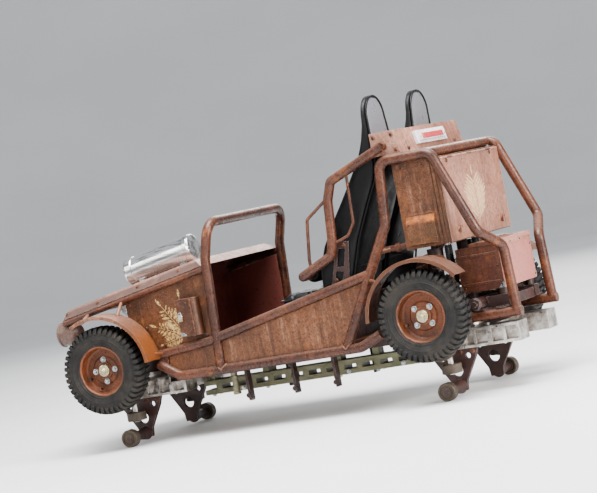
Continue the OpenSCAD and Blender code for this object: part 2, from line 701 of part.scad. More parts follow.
module upper_locker_cover() color("rosybrown") {
    w = locker_w / 2 - cover_inset - cover_gap;
    block([locker_back_x - 1, -w, locker_z + cover_inset + cover_gap],
          [locker_back_x + sheet_t - 1, w, locker_z + locker_h - cover_inset - seat_gap]);
    rod([cover_hinge[0], -w, cover_hinge[1]], [cover_hinge[0], w, cover_hinge[1]], hinge_d - 1);
    for (y = [-230, 0, 230])
        block([locker_back_x - 4, y - 30, cover_hinge[1] - 34],
              [locker_back_x - 0.5, y + 30, cover_hinge[1]]);
    both() {
        translate([locker_back_x - 9, latch_y, latch_z]) rotate([0, 90, 0])
            cylinder(d = 26, h = 9, $fn = fine);
        block([locker_back_x - 16, latch_y - 4, latch_z - 16],
              [locker_back_x - 8, latch_y + 4, latch_z + 16]);
    }
}

low_box_z = 430;
module lower_box() color(rust) {
    difference() {
        block([low_box_back_x, -low_box_w / 2, low_box_z],
              [low_box_back_x + low_box_l, low_box_w / 2, low_box_z + low_box_h]);
        block([low_box_back_x + box_wall, -low_box_w / 2 + box_wall, low_box_z + box_wall],
              [low_box_back_x + low_box_l - box_wall, low_box_w / 2 - box_wall,
               low_box_z + low_box_h + 1]);
    }
    // The fixed part of the top, and ribs pressed in the sides
    block([low_box_back_x + lid_l - 4, 2 - low_box_w / 2, low_box_z + low_box_h - box_wall],
          [low_box_back_x + low_box_l - 2, low_box_w / 2 - 2, low_box_z + low_box_h]);
    both() for (z = [30, low_box_h - 40])
        block([low_box_back_x + 12, low_box_w / 2 - 1, low_box_z + z],
              [low_box_back_x + low_box_l - 12, low_box_w / 2 + 2, low_box_z + z + 8]);
}
lid_l = 134;
lid_h = 16;
lid_hinge = [low_box_back_x - 4 + lid_l, low_box_z + low_box_h + 6];
module lower_box_lid() color(rust) {
    w = low_box_w / 2 + 4;
    block([low_box_back_x - 4, -w, low_box_z + low_box_h + seat_gap],
          [lid_hinge[0], w, low_box_z + low_box_h + lid_h]);
    rod([lid_hinge[0], -w, lid_hinge[1]], [lid_hinge[0], w, lid_hinge[1]], hinge_d);
}

bar_path = [pivot, [-406, 1017], [-377, 938], [-362, 764], [-345, 700], [-190, 630]];
grip_front = [[-377, 950], [-262, 872], [-237, 700], [-237, 651]];
grip_rear = [[-486, 1049], [-477, 825], [-442, 773], [-357, 745]];
module restraint_bar() color("saddlebrown") {
    both() {
        pipe([for (p = bar_path) at(p, bar_y)], bar_d, 30);
        pipe([for (p = grip_front) at(p, bar_y)], grip_d, 24);
        pipe([for (p = grip_rear) at(p, bar_y)], grip_d - 1, 24);
        rod(at(pivot, top_box_w / 2 - pivot_hold + 2), at(pivot, bar_y), pivot_d);
    }
    rod(at(bar_path[5], -bar_y), at(bar_path[5], bar_y), bar_d - 1);
}
pad_half = 300;
module lap_pad() color(black) difference() {
    rod(at(bar_path[5], -pad_half), at(bar_path[5], pad_half), pad_d);
    rod(at(bar_path[5], -pad_half - 1), at(bar_path[5], pad_half + 1), bar_d - 1 + fit_gap);
}

// A bogie's cast block with its pockets, pivot pin, axle boxes and stub axles. Its
// side arms reach back to the place arm_x and up to arm_top.
block_x = 180;
arm_y = 130;
pocket = 52;
rib = 12;
function pockets(x0, x1) = [for (x = [x0 + rib:pocket + rib:x1 - pocket - rib / 2]) x];
module bogie(hub_z, arm_x, arm_top) {
    y = bogie_w / 2;
    top = bogie_z + bogie_h;
    color(cast) difference() {
        union() {
            block([-block_x, -y, bogie_z], [block_x, y, top]);
            cylinder_at([0, 0, top - 1], 140, spine_z - top + 1 - seat_gap);
            cylinder_at([0, 0, top - 1], kingpin_d, spine_z + spine_h - top - 5);
            both() {
                block([arm_x, arm_y, bogie_z], [1 - block_x, y, arm_top]);
                block([-30, y - 2, run_z - 30], [30, rail_gauge / 2 - run_wheel_w / 2 - 5, run_z + 28]);
                cylinder_at([0, guide_y, guide_z - 26], pin_d, run_z - 29 - guide_z + 26);
                block([-30, 290, run_z + 20], [30, 330, hub_z + 25]);
                rod([0, 300, hub_z], [0, track / 2 + 5, hub_z], stub_d);
                turned_y([0, 329, hub_z], [[0, 0], [32, 0], [32, 8], [26, 14], [0, 14]]);
                for (x = [20 - block_x, block_x - 20]) cylinder_at([x, y - 45, top - 1], 26, 12);
            }
        }
        rod([0, -500, run_z], [0, 500, run_z], run_axle_d + 0.1);
        both() {
            for (x = concat(pockets(-block_x, -24), pockets(24, block_x)))
                block([x, y - 26, bogie_z + rib], [x + pocket, y + 1, top - rib]);
            for (x = pockets(arm_x, -block_x))
                block([x, y - 26, bogie_z + rib], [x + pocket, y + 1, arm_top - rib]);
        }
    }
}
module bogie_front() translate([front_x, 0, 0]) bogie(front_hub_z, -254, 255);
module bogie_rear() translate([rear_x, 0, 0]) bogie(rear_hub_z, -318, bogie_z + bogie_h);

// The plates under a bogie that carry the up-stop wheels
carrier_t = 20;
carrier_y = 216;
carrier_outline = [[-110, bogie_z - 0.3], [110, bogie_z - 0.3], [96, 160], [36, 60], [30, 20], [-30, 20],
                   [-36, 60], [-96, 160]];
module wheel_carriers(x) color(rust_dark) translate([x, 0, 0]) both() {
    difference() {
        side_plate(carrier_outline, carrier_y, carrier_t);
        for (p = [[0, 110, 54], [-62, 168, 26], [62, 168, 26]])
            rod([p[0], carrier_y - 1, p[1]], [p[0], carrier_y + carrier_t + 1, p[1]], p[2]);
    }
    turned_y([0, carrier_y + carrier_t - 1, stop_z],
             [[0, 0], [32, 0], [22, 60],
              [18, rail_gauge / 2 - small_wheel_w / 2 - carrier_y - carrier_t - 6],
              [0, rail_gauge / 2 - small_wheel_w / 2 - carrier_y - carrier_t - 6]]);
    rod([0, carrier_y, stop_z], [0, rail_gauge / 2 + small_wheel_w / 2 + 4, stop_z], pin_d);
}
module wheel_carriers_front() wheel_carriers(front_x);
module wheel_carriers_rear() wheel_carriers(rear_x);

// A tyre as one ring of bands, for each lug four stations with the tread at full
// height twice and at its groove twice. Angle 0 lies forward, [radius, outwards].
tyre_bead = 45;
tyre_groove = tyre_d / 2 - lug_h;
tyre_wall_r = tyre_d / 2 - 38;
bore_r = rim_d / 2 - 5.6;
lug_r = tyre_d / 2;
function station(a, r, y) = [r * cos(a), y, r * sin(a)];
function tyre_ring(a, wall, tread) = [for (p = concat([[bore_r, -tyre_bead], [tyre_wall_r, -tyre_w / 2]],
                                                      tread, [[tyre_wall_r, tyre_w / 2],
                                                              [bore_r, tyre_bead]])) station(a, p[0],
                                                              p[1])];
function lug_tread(high) = high
    ? [[tyre_groove - 2, -tyre_w / 2 + 3], [lug_r, -tyre_w / 2 + 16], [lug_r, tyre_w / 2 - 16],
       [tyre_groove - 2, tyre_w / 2 - 3]]
    : [[tyre_groove - 8, -tyre_w / 2 + 6], [tyre_groove, -tyre_w / 2 + 24],
       [tyre_groove, tyre_w / 2 - 24], [tyre_groove - 8, tyre_w / 2 - 6]];
// Points: for each lug 4 bore and wall points, then 4 stations of 4 tread points
function tyre_points() = [for (i = [0:lugs - 1]) let (a = 360 * i / lugs, s = 360 / lugs) each concat(
    [station(a, bore_r, -tyre_bead), station(a, tyre_wall_r, -tyre_w / 2), station(a, tyre_wall_r,
        tyre_w / 2), station(a, bore_r, tyre_bead)],
    [for (k = [0:3]) each [for (p = lug_tread(k == 1 || k == 2)) station(a + s * [0, 0.06, 0.56,
        0.62][k], p[0], p[1])]])];
function quad(a, b, c, d) = [[a, b, c], [a, c, d]];
function tyre_faces() = [for (i = [0:lugs - 1]) let (o = 20 * i, n = 20 * ((i + 1) % lugs),
    t = [for (k = [0:4]) k < 4 ? o + 4 + 4 * k : n + 4]) each concat(
    quad(o, n, n + 3, o + 3),
    quad(o + 1, n + 1, n, o), quad(o + 3, n + 3, n + 2, o + 2),
    [for (k = [0:3]) each concat([for (j = [0:2]) each quad(t[k] + j, t[k] + j + 1, t[k + 1] + j + 1,
        t[k + 1] + j)])],
    [[o + 1, t[0], t[1]], [o + 1, t[1], t[2]], [o + 1, t[2], n + 1], [t[2], t[3], n + 1], [t[3], t[4],
        n + 1]],
    [[o + 2, t[1] + 3, t[0] + 3], [o + 2, t[2] + 3, t[1] + 3], [o + 2, n + 2, t[2] + 3], [t[2] + 3,
        n + 2, t[3] + 3], [t[3] + 3, n + 2, t[4] + 3]])];
module tyre() color(black) polyhedron(tyre_points(), tyre_faces());

// The rim: barrel, lips, dish, hub and cap, with its bolts and valve
module rim() color(rust) {
    r = rim_d / 2;
    difference() {
        turned_y([0, 0, 0], [[0, -40], [36, -40], [36, 2], [60, 2], [66, 4], [r - 21, 4], [r - 16, 0],
                             [r - 13, -12], [r - 12, -40], [r - 9, -48], [r - 6, -51], [r - 2, -51],
                             [r + 0.5, -49.5], [r, -47.3], [r - 6.3, -45.4], [r - 6.3, 45.4], [r, 47.3],
                             [r + 0.5, 49.5], [r - 2, 51], [r - 6, 50], [r - 9, 46], [r - 11, 20],
                             [r - 15, 11], [r - 21, 7], [66, 7], [58, 13], [40, 13], [38, 18], [27, 20],
                             [26, 26], [22, 29], [0, 29]]);
        rod([0, -60, 0], [0, 6, 0], stub_d + 0.1);
    }
    hex_y([0, 28, 0], 26, 9);
    for (i = [0:3]) rotate([0, 45 + 90 * i, 0]) {
        rod([bolt_circle / 2, 12, 0], [bolt_circle / 2, 16, 0], 24);
        hex_y([bolt_circle / 2, 15, 0], 19, 10);
    }
    rotate([0, 20, 0]) rod([r - 26, 5, 0], [r - 30, 34, 0], 9);
}
// Wheels as [along, side, hub height, turn of the bolts]
module wheel_place(w) translate([w[0], w[1] * track / 2, w[2]]) scale([1, w[1], 1]) rotate([0, w[3], 0])
    children();
wheels = [[front_x, 1, front_hub_z, 45], [front_x, -1, front_hub_z, 45], [rear_x, 1, rear_hub_z, 0],
          [rear_x, -1, rear_hub_z, 0]];
module tyre_front_left() wheel_place(wheels[0]) tyre();
module tyre_front_right() wheel_place(wheels[1]) tyre();
module tyre_rear_left() wheel_place(wheels[2]) tyre();
module tyre_rear_right() wheel_place(wheels[3]) tyre();
module rim_front_left() wheel_place(wheels[0]) rim();
module rim_front_right() wheel_place(wheels[1]) rim();
module rim_rear_left() wheel_place(wheels[2]) rim();
module rim_rear_right() wheel_place(wheels[3]) rim();

module running_axle() color("dimgray") {
    rod([0, -rail_gauge / 2, run_z], [0, rail_gauge / 2, run_z], run_axle_d);
    both() {
        r = run_wheel_d / 2;
        w = run_wheel_w;
        turned_y([0, rail_gauge / 2 - w / 2, run_z],
                 [[0, 0], [34, 0], [34, 6], [r - 22, 6], [r - 18, 0], [r - 4, 0], [r, 4], [r, w - 4],
                  [r - 4, w], [r - 18, w], [r - 22, w - 6], [34, w - 6], [34, w], [0, w]]);
        hex_y([0, rail_gauge / 2 + w / 2 - 1, run_z], 34, 5);
    }
}
module running_axle_front() translate([front_x, 0, 0]) running_axle();
module running_axle_rear() translate([rear_x, 0, 0]) running_axle();

// A small wheel's profile, with a groove in each side between hub and tread
function small_wheel(d) = [[pin_d / 2 + 0.05, 0], [pin_d / 2 + 9, 0], [pin_d / 2 + 9, 4], [d / 2 - 12, 4],
                           [d / 2 - 10, 0], [d / 2 - 3, 0], [d / 2, 3], [d / 2, small_wheel_w - 3],
                           [d / 2 - 3, small_wheel_w], [d / 2 - 10, small_wheel_w],
                           [d / 2 - 12, small_wheel_w - 4], [pin_d / 2 + 9, small_wheel_w - 4],
                           [pin_d / 2 + 9, small_wheel_w], [pin_d / 2 + 0.05, small_wheel_w]];
module guide_wheel(x, s) color("dimgray") translate([x, s * guide_y, guide_z - small_wheel_w / 2])
    rotate_extrude($fn = 96) polygon(small_wheel(guide_wheel_d));
module guide_wheel_front_left() guide_wheel(front_x, 1);
module guide_wheel_front_right() guide_wheel(front_x, -1);
module guide_wheel_rear_left() guide_wheel(rear_x, 1);
module guide_wheel_rear_right() guide_wheel(rear_x, -1);

module stop_wheel(x, s) color("dimgray")
    turned_y([x, s * rail_gauge / 2 - small_wheel_w / 2, stop_z], small_wheel(stop_wheel_d));
module stop_wheel_front_left() stop_wheel(front_x, 1);
module stop_wheel_front_right() stop_wheel(front_x, -1);
module stop_wheel_rear_left() stop_wheel(rear_x, 1);
module stop_wheel_rear_right() stop_wheel(rear_x, -1);

chassis_spine();
centre_beam();
floor_pan();
side_frame_left();
side_frame_right();
windscreen_hoop();
roll_cage_left();
roll_cage_right();
cage_cross_tubes();
tail_frame();
bonnet();
air_cylinder();
headlamps();
cowl_side_left();
cowl_side_right();
cowl_box_left();
cowl_box_right();
cowl_door_left();
cowl_door_right();
bulkhead();
side_panels();
front_wings();
rear_wings();
seat_left();
seat_right();
seat_frame();
seat_cushion_left();
seat_cushion_right();
top_box();
rear_lamp();
upper_locker();
upper_locker_cover();
lower_box();
lower_box_lid();
restraint_bar();
lap_pad();
bogie_front();
bogie_rear();
wheel_carriers_front();
wheel_carriers_rear();
tyre_front_left();
tyre_front_right();
tyre_rear_left();
tyre_rear_right();
rim_front_left();
rim_front_right();
rim_rear_left();
rim_rear_right();
running_axle_front();
running_axle_rear();
guide_wheel_front_left();
guide_wheel_front_right();
guide_wheel_rear_left();
guide_wheel_rear_right();
stop_wheel_front_left();
stop_wheel_front_right();
stop_wheel_rear_left();
stop_wheel_rear_right();
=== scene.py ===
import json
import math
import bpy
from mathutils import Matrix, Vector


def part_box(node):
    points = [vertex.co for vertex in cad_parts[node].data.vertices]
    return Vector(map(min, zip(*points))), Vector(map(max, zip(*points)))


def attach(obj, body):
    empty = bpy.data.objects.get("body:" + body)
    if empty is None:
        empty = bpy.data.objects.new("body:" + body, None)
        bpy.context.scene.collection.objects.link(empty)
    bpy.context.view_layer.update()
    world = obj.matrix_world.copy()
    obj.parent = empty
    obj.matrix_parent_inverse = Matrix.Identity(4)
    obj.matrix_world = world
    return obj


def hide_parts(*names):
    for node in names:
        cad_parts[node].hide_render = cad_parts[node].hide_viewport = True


bl_info = {
    "name": "Rusty Buggy Coaster Car",
    "version": (1, 1, 0),
    "blender": (4, 5, 0),
    "location": "View3D > Sidebar > Coaster Car",
    "description": "Dresses a two-seat coaster car as a rusty off-road buggy",
    "category": "Object",
}

import bmesh
import bpy
from bpy.props import FloatProperty, FloatVectorProperty, IntProperty, PointerProperty
from mathutils import Matrix, Vector, noise

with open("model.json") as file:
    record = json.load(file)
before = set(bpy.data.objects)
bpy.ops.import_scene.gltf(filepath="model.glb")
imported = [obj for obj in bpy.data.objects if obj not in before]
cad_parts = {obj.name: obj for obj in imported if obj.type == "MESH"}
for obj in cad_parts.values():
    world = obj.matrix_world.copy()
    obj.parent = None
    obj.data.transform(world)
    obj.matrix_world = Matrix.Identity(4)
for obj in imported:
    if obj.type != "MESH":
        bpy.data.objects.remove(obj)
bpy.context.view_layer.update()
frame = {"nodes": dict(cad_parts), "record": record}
NODES = frame["nodes"]
JOINTS = {joint["name"]: joint for joint in frame["record"]["behaviour"]["joints"]}
SIDES = (1, -1)
HANDS = (("left", 1), ("right", -1))
ENDS = ("front", "rear")
UP, AHEAD, REAR = Vector((0, 0, 1)), Vector((1, 0, 0)), Vector((-1, 0, 0))


def mm(x, y, z):
    """A place given in millimetres."""
    return Vector((x, y, z)) / 1000


def joint_place(name):
    """Where a joint's axis stands."""
    return Vector(JOINTS[name]["pos_m"])


def outer_face(node, side):
    """How far out a node of the left or the right side reaches."""
    low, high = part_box(node)
    return side * max(abs(low.y), abs(high.y))


def road_wheels():
    """Yields the name, centre, side of the car and body of each road wheel."""
    for end in ENDS:
        for hand, side in HANDS:
            name = f"{end}_{hand}"
            yield name, joint_place(f"road_wheel_{name}_spin"), side, f"road_wheel_{name}"


# Materials
FINISH = {}


class Graph:
    """A finish's material, with short ways to add nodes to it and to link them."""

    def __init__(self, name):
        self.material = FINISH[name] = bpy.data.materials.new(name)
        self.material.use_nodes = True
        self.tree = self.material.node_tree
        self.shader = self.tree.nodes["Principled BSDF"]
        self.coords = self.node("ShaderNodeTexCoord").outputs["Object"]

    def node(self, kind, inputs=None, **settings):
        """Adds a node, with its inputs as values or as other nodes' outputs."""
        made = self.tree.nodes.new(kind)
        for key, value in settings.items():
            setattr(made, key, value)
        for key, value in (inputs or {}).items():
            socket = made.inputs[key]
            if isinstance(value, bpy.types.NodeSocket):
                self.tree.links.new(value, socket)
            else:
                socket.default_value = value
        return made

    def noise(self, scale, detail=6.0, rough=0.6, stretch=(1, 1, 1), shift=(0, 0, 0)):
        """A cloudy pattern in the frame's own coordinates, from 0 to 1."""
        place = self.node("ShaderNodeMapping", {"Vector": self.coords, "Scale": stretch, "Location": shift})
        made = self.node("ShaderNodeTexNoise", {
            "Vector": place.outputs[0], "Scale": scale, "Detail": detail, "Roughness": rough})
        return made.outputs["Fac"]

    def ramp(self, value, low, high, start=0.0, end=1.0):
        """Eases from start to end while the value goes from low to high."""
        made = self.node("ShaderNodeMapRange", {
            "Value": value, "From Min": low, "From Max": high, "To Min": start, "To Max": end})
        made.interpolation_type = "SMOOTHSTEP"
        return made.outputs[0]

    def math(self, kind, a, b):
        return self.node("ShaderNodeMath", {0: a, 1: b}, operation=kind).outputs[0]

    def times(self, a, b):
        return self.math("MULTIPLY", a, b)

    def blend(self, amount, a, b):
        """Mixes from the colour a to the colour b by an amount."""
        made = self.node("ShaderNodeMix", data_type="RGBA")
        for key, value in ((0, amount), (6, a), (7, b)):
            if isinstance(value, bpy.types.NodeSocket):
                self.tree.links.new(value, made.inputs[key])
            elif key == 0:
                made.inputs[key].default_value = value
            else:
                made.inputs[key].default_value = (*value, 1.0)
        return made.outputs[2]

    def edges(self, radius):
        """How close a point lies to an edge, from 0 to 1, by comparing rounded and true normals."""
        rounded = self.node("ShaderNodeBevel", {"Radius": radius}, samples=4)
        true = self.node("ShaderNodeNewGeometry")
        dot = self.node("ShaderNodeVectorMath", {0: rounded.outputs[0], 1: true.outputs["Normal"]},
                        operation="DOT_PRODUCT")
        return self.ramp(self.math("SUBTRACT", 1.0, dot.outputs["Value"]), 0.02, 0.25)

    def facing(self, low, high):
        """1 on a surface that looks up, 0 on walls and undersides."""
        true = self.node("ShaderNodeNewGeometry")
        split = self.node("ShaderNodeSeparateXYZ", {0: true.outputs["Normal"]})
        return self.ramp(split.outputs["Z"], low, high)

    def zone(self, low, high, soft):
        """1 inside a box of the car and its mirror image, 0 outside, with a soft edge."""
        split = self.node("ShaderNodeSeparateXYZ", {0: self.coords})
        amount = None
        for axis, (start, end) in enumerate(zip(low, high)):
            value = split.outputs[axis]
            if axis == 1:
                value = self.math("ABSOLUTE", value, 0.0)
            inside = self.times(self.ramp(value, start - soft, start + soft),
                                self.ramp(value, end + soft, end - soft))
            amount = inside if amount is None else self.times(amount, inside)
        return amount

    def bump(self, height, strength, distance, radius=0.0):
        """Roughens the surface by a height, over edges that are rounded by radius."""
        inputs = {"Height": height, "Strength": strength, "Distance": distance}
        if radius:
            inputs["Normal"] = self.node("ShaderNodeBevel", {"Radius": radius}, samples=4).outputs[0]
        made = self.node("ShaderNodeBump", inputs)
        self.set("Normal", made.outputs[0])

    def set(self, key, value):
        """Gives one of the shader's sockets a number, a colour or a link."""
        socket = self.shader.inputs[key]
        if isinstance(value, bpy.types.NodeSocket):
            self.tree.links.new(value, socket)
        elif hasattr(value, "__len__") and len(value) == 3:
            socket.default_value = (*value, 1.0)
        else:
            socket.default_value = value


def rusted_steel(name, base, dark, rust, pale, bloom, runs, rough=0.42, grain=1.0, edge=0.003, dust_and_sheen=0.12,
                 zones=()):
    """Varnished rust: clouded brown, orange blooms, fine grain, faint run-off streaks, rubbed edges, and
    paler tops, partly dusty and partly a painted sky reflection.
    """
    g = Graph(name)
    cloud = g.ramp(g.noise(2.6 * grain, 7, 0.62), 0.36, 0.64)
    tone = g.blend(cloud, base, dark)
    for low, high, colour, amount, soft in zones:
        if amount < 1:
            ragged = g.ramp(g.noise(9, 8, 0.7, shift=(1, 4, 9)), 0.30, 0.56)
            here = g.times(g.zone(low, high, soft), g.times(ragged, amount))
            tone = g.blend(here, tone, colour)
    patch = g.ramp(g.noise(7.5 * grain, 12, 0.72, shift=(11, 5, 2)), 0.60 - 0.12 * bloom, 0.80 - 0.10 * bloom)
    tone = g.blend(g.times(patch, 0.30 + 0.55 * bloom), tone, rust)
    streak_zone = g.ramp(g.noise(1.9, 4, 0.5, shift=(2, 7, 4)), 0.38, 0.60)
    streak = g.ramp(g.noise(1.0, 8, 0.72, stretch=(42 * grain, 42 * grain, 3.2 * grain)), 0.48, 0.72)
    tone = g.blend(g.times(g.times(streak, streak_zone), runs), tone, pale)
    stain = g.noise(1.0, 6, 0.6, stretch=(24 * grain, 24 * grain, 3.0 * grain), shift=(5, 9, 1))
    stain = g.ramp(stain, 0.54, 0.70)
    tone = g.blend(g.times(stain, runs * 1.4), tone, [c * 0.45 for c in dark])
    mottle = g.ramp(g.noise(52 * grain, 10, 0.82, shift=(3, 1, 7)), 0.42, 0.62)
    tone = g.blend(g.times(mottle, 0.74), tone, [c * 0.30 for c in base])
    fleck = g.ramp(g.noise(170 * grain, 5, 0.72), 0.54, 0.68)
    tone = g.blend(g.times(fleck, 0.30), tone, pale)
    for low, high, colour, amount, soft in zones:
        if amount == 1:
            worn = g.ramp(g.noise(21, 8, 0.7, shift=(6, 2, 4)), 0.28, 0.50, 0.72, 0.95)
            tone = g.blend(g.times(g.zone(low, high, soft), worn), tone, colour)
    pit = g.ramp(g.noise(105 * grain, 6, 0.75, shift=(8, 8, 8)), 0.58, 0.67)
    tone = g.blend(g.times(pit, 0.70), tone, [c * 0.25 for c in dark])
    rub = g.times(g.edges(edge), g.ramp(g.noise(34, 6, 0.7), 0.35, 0.6))
    tone = g.blend(g.times(rub, 0.75), tone, pale)
    # Up-facing surfaces turn paler: partly dusty, partly a painted sky reflection on their tops.
    tone = g.blend(g.times(g.facing(0.3, 0.95), dust_and_sheen), tone, [0.7 * c + 0.10 for c in pale])
    g.set("Base Color", tone)
    g.set("Metallic", 0.0)
    g.set("Roughness", g.ramp(g.noise(30 * grain, 8, 0.7), 0.3, 0.7, rough - 0.12, rough + 0.22))
    g.set("Specular IOR Level", 0.36)
    g.set("Coat Weight", 0.08)
    g.set("Coat Roughness", 0.30)
    height = g.math("ADD", g.times(g.noise(150 * grain, 8, 0.78), 0.8),
                    g.times(g.noise(14 * grain, 6, 0.6), 1.1))
    g.bump(height, 0.55, 0.0012, radius=0.0022)


def dull_metal(name, colour, dark, rough, metallic=1.0, grain=60.0, dirt=0.4):
    """Cast or turned metal, cleaner on its edges and dirty in clouds."""
    g = Graph(name)
    cloud = g.ramp(g.noise(grain * 0.3, 6, 0.6), 0.38, 0.62)
    tone = g.blend(g.times(cloud, dirt), colour, dark)
    fine = g.ramp(g.noise(grain * 3, 6, 0.7), 0.45, 0.7)
    tone = g.blend(g.times(fine, dirt * 0.6), tone, dark)
    tone = g.blend(g.times(g.edges(0.003), 0.5), tone, [min(1, c * 1.35) for c in colour])
    g.set("Base Color", tone)
    g.set("Metallic", metallic)
    g.set("Roughness", g.ramp(g.noise(grain, 5, 0.6), 0.3, 0.7, rough - 0.08, rough + 0.14))
    g.bump(g.noise(grain * 4, 7, 0.7), 0.25, 0.0008, radius=0.0018)


def polished(name, colour, rough):
    """Polished metal with faint wiping marks, a few water spots, and dark streaks along the car that are
    painted reflections.
    """
    g = Graph(name)
    smear = g.noise(5, 6, 0.6, stretch=(1, 3, 3))
    spots = g.ramp(g.noise(85, 4, 0.6), 0.62, 0.7)
    # Dark streaks running along the car: painted reflections of dark surroundings.
    reflection_bands = g.ramp(g.noise(1.0, 5, 0.6, stretch=(2.2, 34, 34), shift=(1, 3, 2)), 0.45, 0.56)
    tone = g.blend(g.times(reflection_bands, 0.75), colour, [c * 0.33 for c in colour])
    g.set("Base Color", g.blend(g.times(spots, 0.25), tone, [c * 0.72 for c in colour]))
    g.set("Metallic", 1.0)
    g.set("Roughness", g.ramp(smear, 0.35, 0.65, rough, rough + 0.07))
    g.bump(g.noise(4, 3, 0.5), 0.12, 0.004)


def rubber(name, colour, dust_and_sheen, dust_amount, rough=0.7):
    """Black rubber with dry, dusty clouds and grit, and paler edges."""
    g = Graph(name)
    cloud = g.ramp(g.noise(9, 8, 0.7), 0.42, 0.70)
    tone = g.blend(g.times(cloud, dust_amount), colour, dust_and_sheen)
    grit = g.ramp(g.noise(140, 5, 0.7), 0.52, 0.74)
    tone = g.blend(g.times(grit, dust_amount * 0.7), tone, [c * 1.25 for c in dust_and_sheen])
    tone = g.blend(g.times(g.edges(0.003), 0.35), tone, [c * 3.0 for c in colour])
    g.set("Base Color", tone)
    g.set("Roughness", g.ramp(g.noise(30, 6, 0.6), 0.3, 0.7, rough - 0.12, rough + 0.15))
    g.set("Specular IOR Level", 0.4)
    g.bump(g.noise(210, 6, 0.7), 0.3, 0.0006, radius=0.0015)


def vinyl(name, colour, sheen, rough, pebbles=620.0, top=None):
    """Seat skin: a fine pebble grain, soft creases, a greasy sheen, and over the headrest the colour top, a
    painted sheen of the sky.
    """
    g = Graph(name)
    pebble = g.node("ShaderNodeTexVoronoi", {"Vector": g.coords, "Scale": pebbles}, feature="SMOOTH_F1")
    worn = g.ramp(g.noise(6, 6, 0.6), 0.42, 0.66)
    tone = g.blend(g.times(worn, 0.5), colour, sheen)
    # Over the headrest the colour turns to top: a painted sheen of the sky on the black cover.
    if top:
        split = g.node("ShaderNodeSeparateXYZ", {0: g.coords})
        tone = g.blend(g.ramp(split.outputs["Z"], 1.07, 1.17), tone, top)
    dry = g.ramp(g.noise(38, 8, 0.75), 0.55, 0.75)
    g.set("Base Color", g.blend(g.times(dry, 0.25), tone, [c * 2.0 + 0.01 for c in sheen]))
    g.set("Roughness", g.ramp(g.noise(14, 6, 0.6), 0.3, 0.7, rough - 0.08, rough + 0.14))
    g.set("Specular IOR Level", 0.30)
    height = g.math("ADD", pebble.outputs["Distance"], g.times(g.noise(24, 5, 0.6), 1.4))
    g.bump(height, 0.28, 0.0007)


def painted(name, colour, dark, rough, wear=0.3):
    """Workshop paint, dusty and chipped on its edges."""
    g = Graph(name)
    cloud = g.ramp(g.noise(7, 7, 0.65), 0.4, 0.66)
    tone = g.blend(g.times(cloud, 0.6), colour, dark)
    chips = g.times(g.edges(0.004), g.ramp(g.noise(60, 6, 0.7), 0.42, 0.55))
    bare_metal = (0.45, 0.44, 0.42)
    tone = g.blend(g.times(chips, wear * 2), tone, bare_metal)
    oil = g.ramp(g.noise(18, 9, 0.75, shift=(4, 8, 3)), 0.55, 0.7)
    tone = g.blend(g.times(oil, wear), tone, [c * 0.3 for c in dark])
    g.set("Base Color", tone)
    g.set("Roughness", g.ramp(g.noise(30, 6, 0.6), 0.3, 0.7, rough - 0.1, rough + 0.18))
    g.bump(g.noise(120, 5, 0.6), 0.2, 0.0006, radius=0.002)


def stencil(name, colour, under):
    """Thin pale paint, worn through to the rust in flakes."""
    g = Graph(name)
    flake = g.ramp(g.noise(75, 9, 0.78), 0.46, 0.56)
    fade = g.ramp(g.noise(12, 5, 0.6, shift=(4, 2, 6)), 0.35, 0.70)
    faded = [0.6 * a + 0.4 * b for a, b in zip(colour, under)]
    tone = g.blend(g.times(fade, 0.45), colour, faded)
    g.set("Base Color", g.blend(flake, tone, under))
    g.set("Roughness", g.ramp(g.noise(40, 6, 0.7), 0.3, 0.7, 0.45, 0.7))
    g.bump(g.noise(160, 6, 0.7), 0.3, 0.0006)


def lens_glass(name, colour, rough=0.08):
    """Pressed lens glass: a clear colour under a hard gloss, with fine flutes."""
    g = Graph(name)
    flutes = g.node("ShaderNodeTexWave", {"Vector": g.coords, "Scale": 38.0, "Distortion": 0.0})
    dusty = g.ramp(g.noise(22, 6, 0.7), 0.5, 0.75)
    g.set("Base Color", g.blend(g.times(dusty, 0.3), colour, (0.42, 0.38, 0.34)))
    g.set("Roughness", g.ramp(g.noise(30, 5, 0.6), 0.3, 0.7, rough, rough + 0.15))
    g.set("Coat Weight", 0.6)
    g.set("Coat Roughness", 0.05)
    g.bump(flutes.outputs["Fac"], 0.3, 0.0008)


def floor_paint(name, colour, other):
    """A plain matt floor with a hint of cloud."""
    g = Graph(name)
    g.set("Base Color", g.blend(g.ramp(g.noise(0.6, 4, 0.5), 0.3, 0.7), colour, other))
    g.set("Roughness", 0.7)


# Finishes
class CoasterFinish(bpy.types.PropertyGroup):
    """Colours of the car's main finishes."""

    sheet: FloatVectorProperty(
        name="Sheet", description="Brown of the rusted body sheets", subtype="COLOR",
        default=(0.165, 0.062, 0.026), min=0, max=1)
    tube: FloatVectorProperty(
        name="Tube", description="Brown of the rusted frame tubes", subtype="COLOR",
        default=(0.125, 0.044, 0.024), min=0, max=1)
    # This pale pink brown is painted light: the sky's reflection on the lids and the top box, painted into
    # their colour.
    pale: FloatVectorProperty(
        name="Pale sheet", description="Sun-bleached pink brown of the lids and the top box", subtype="COLOR",
        default=(0.450, 0.232, 0.165), min=0, max=1)
    orange: FloatVectorProperty(
        name="Fresh rust", description="Orange of the fresh rust", subtype="COLOR",
        default=(0.360, 0.125, 0.034), min=0, max=1)
    rubbed: FloatVectorProperty(
        name="Rubbed rust", description="Pale brown of rubbed edges and dry flecks", subtype="COLOR",
        default=(0.470, 0.280, 0.180), min=0, max=1)
    beam: FloatVectorProperty(
        name="Beam paint", description="Olive grey paint of the centre beam", subtype="COLOR",
        default=(0.220, 0.215, 0.120), min=0, max=1)


# Just outside the inner faces of the cowl's sides
INNER_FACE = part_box("cowl_side_left")[0].y + 0.0015
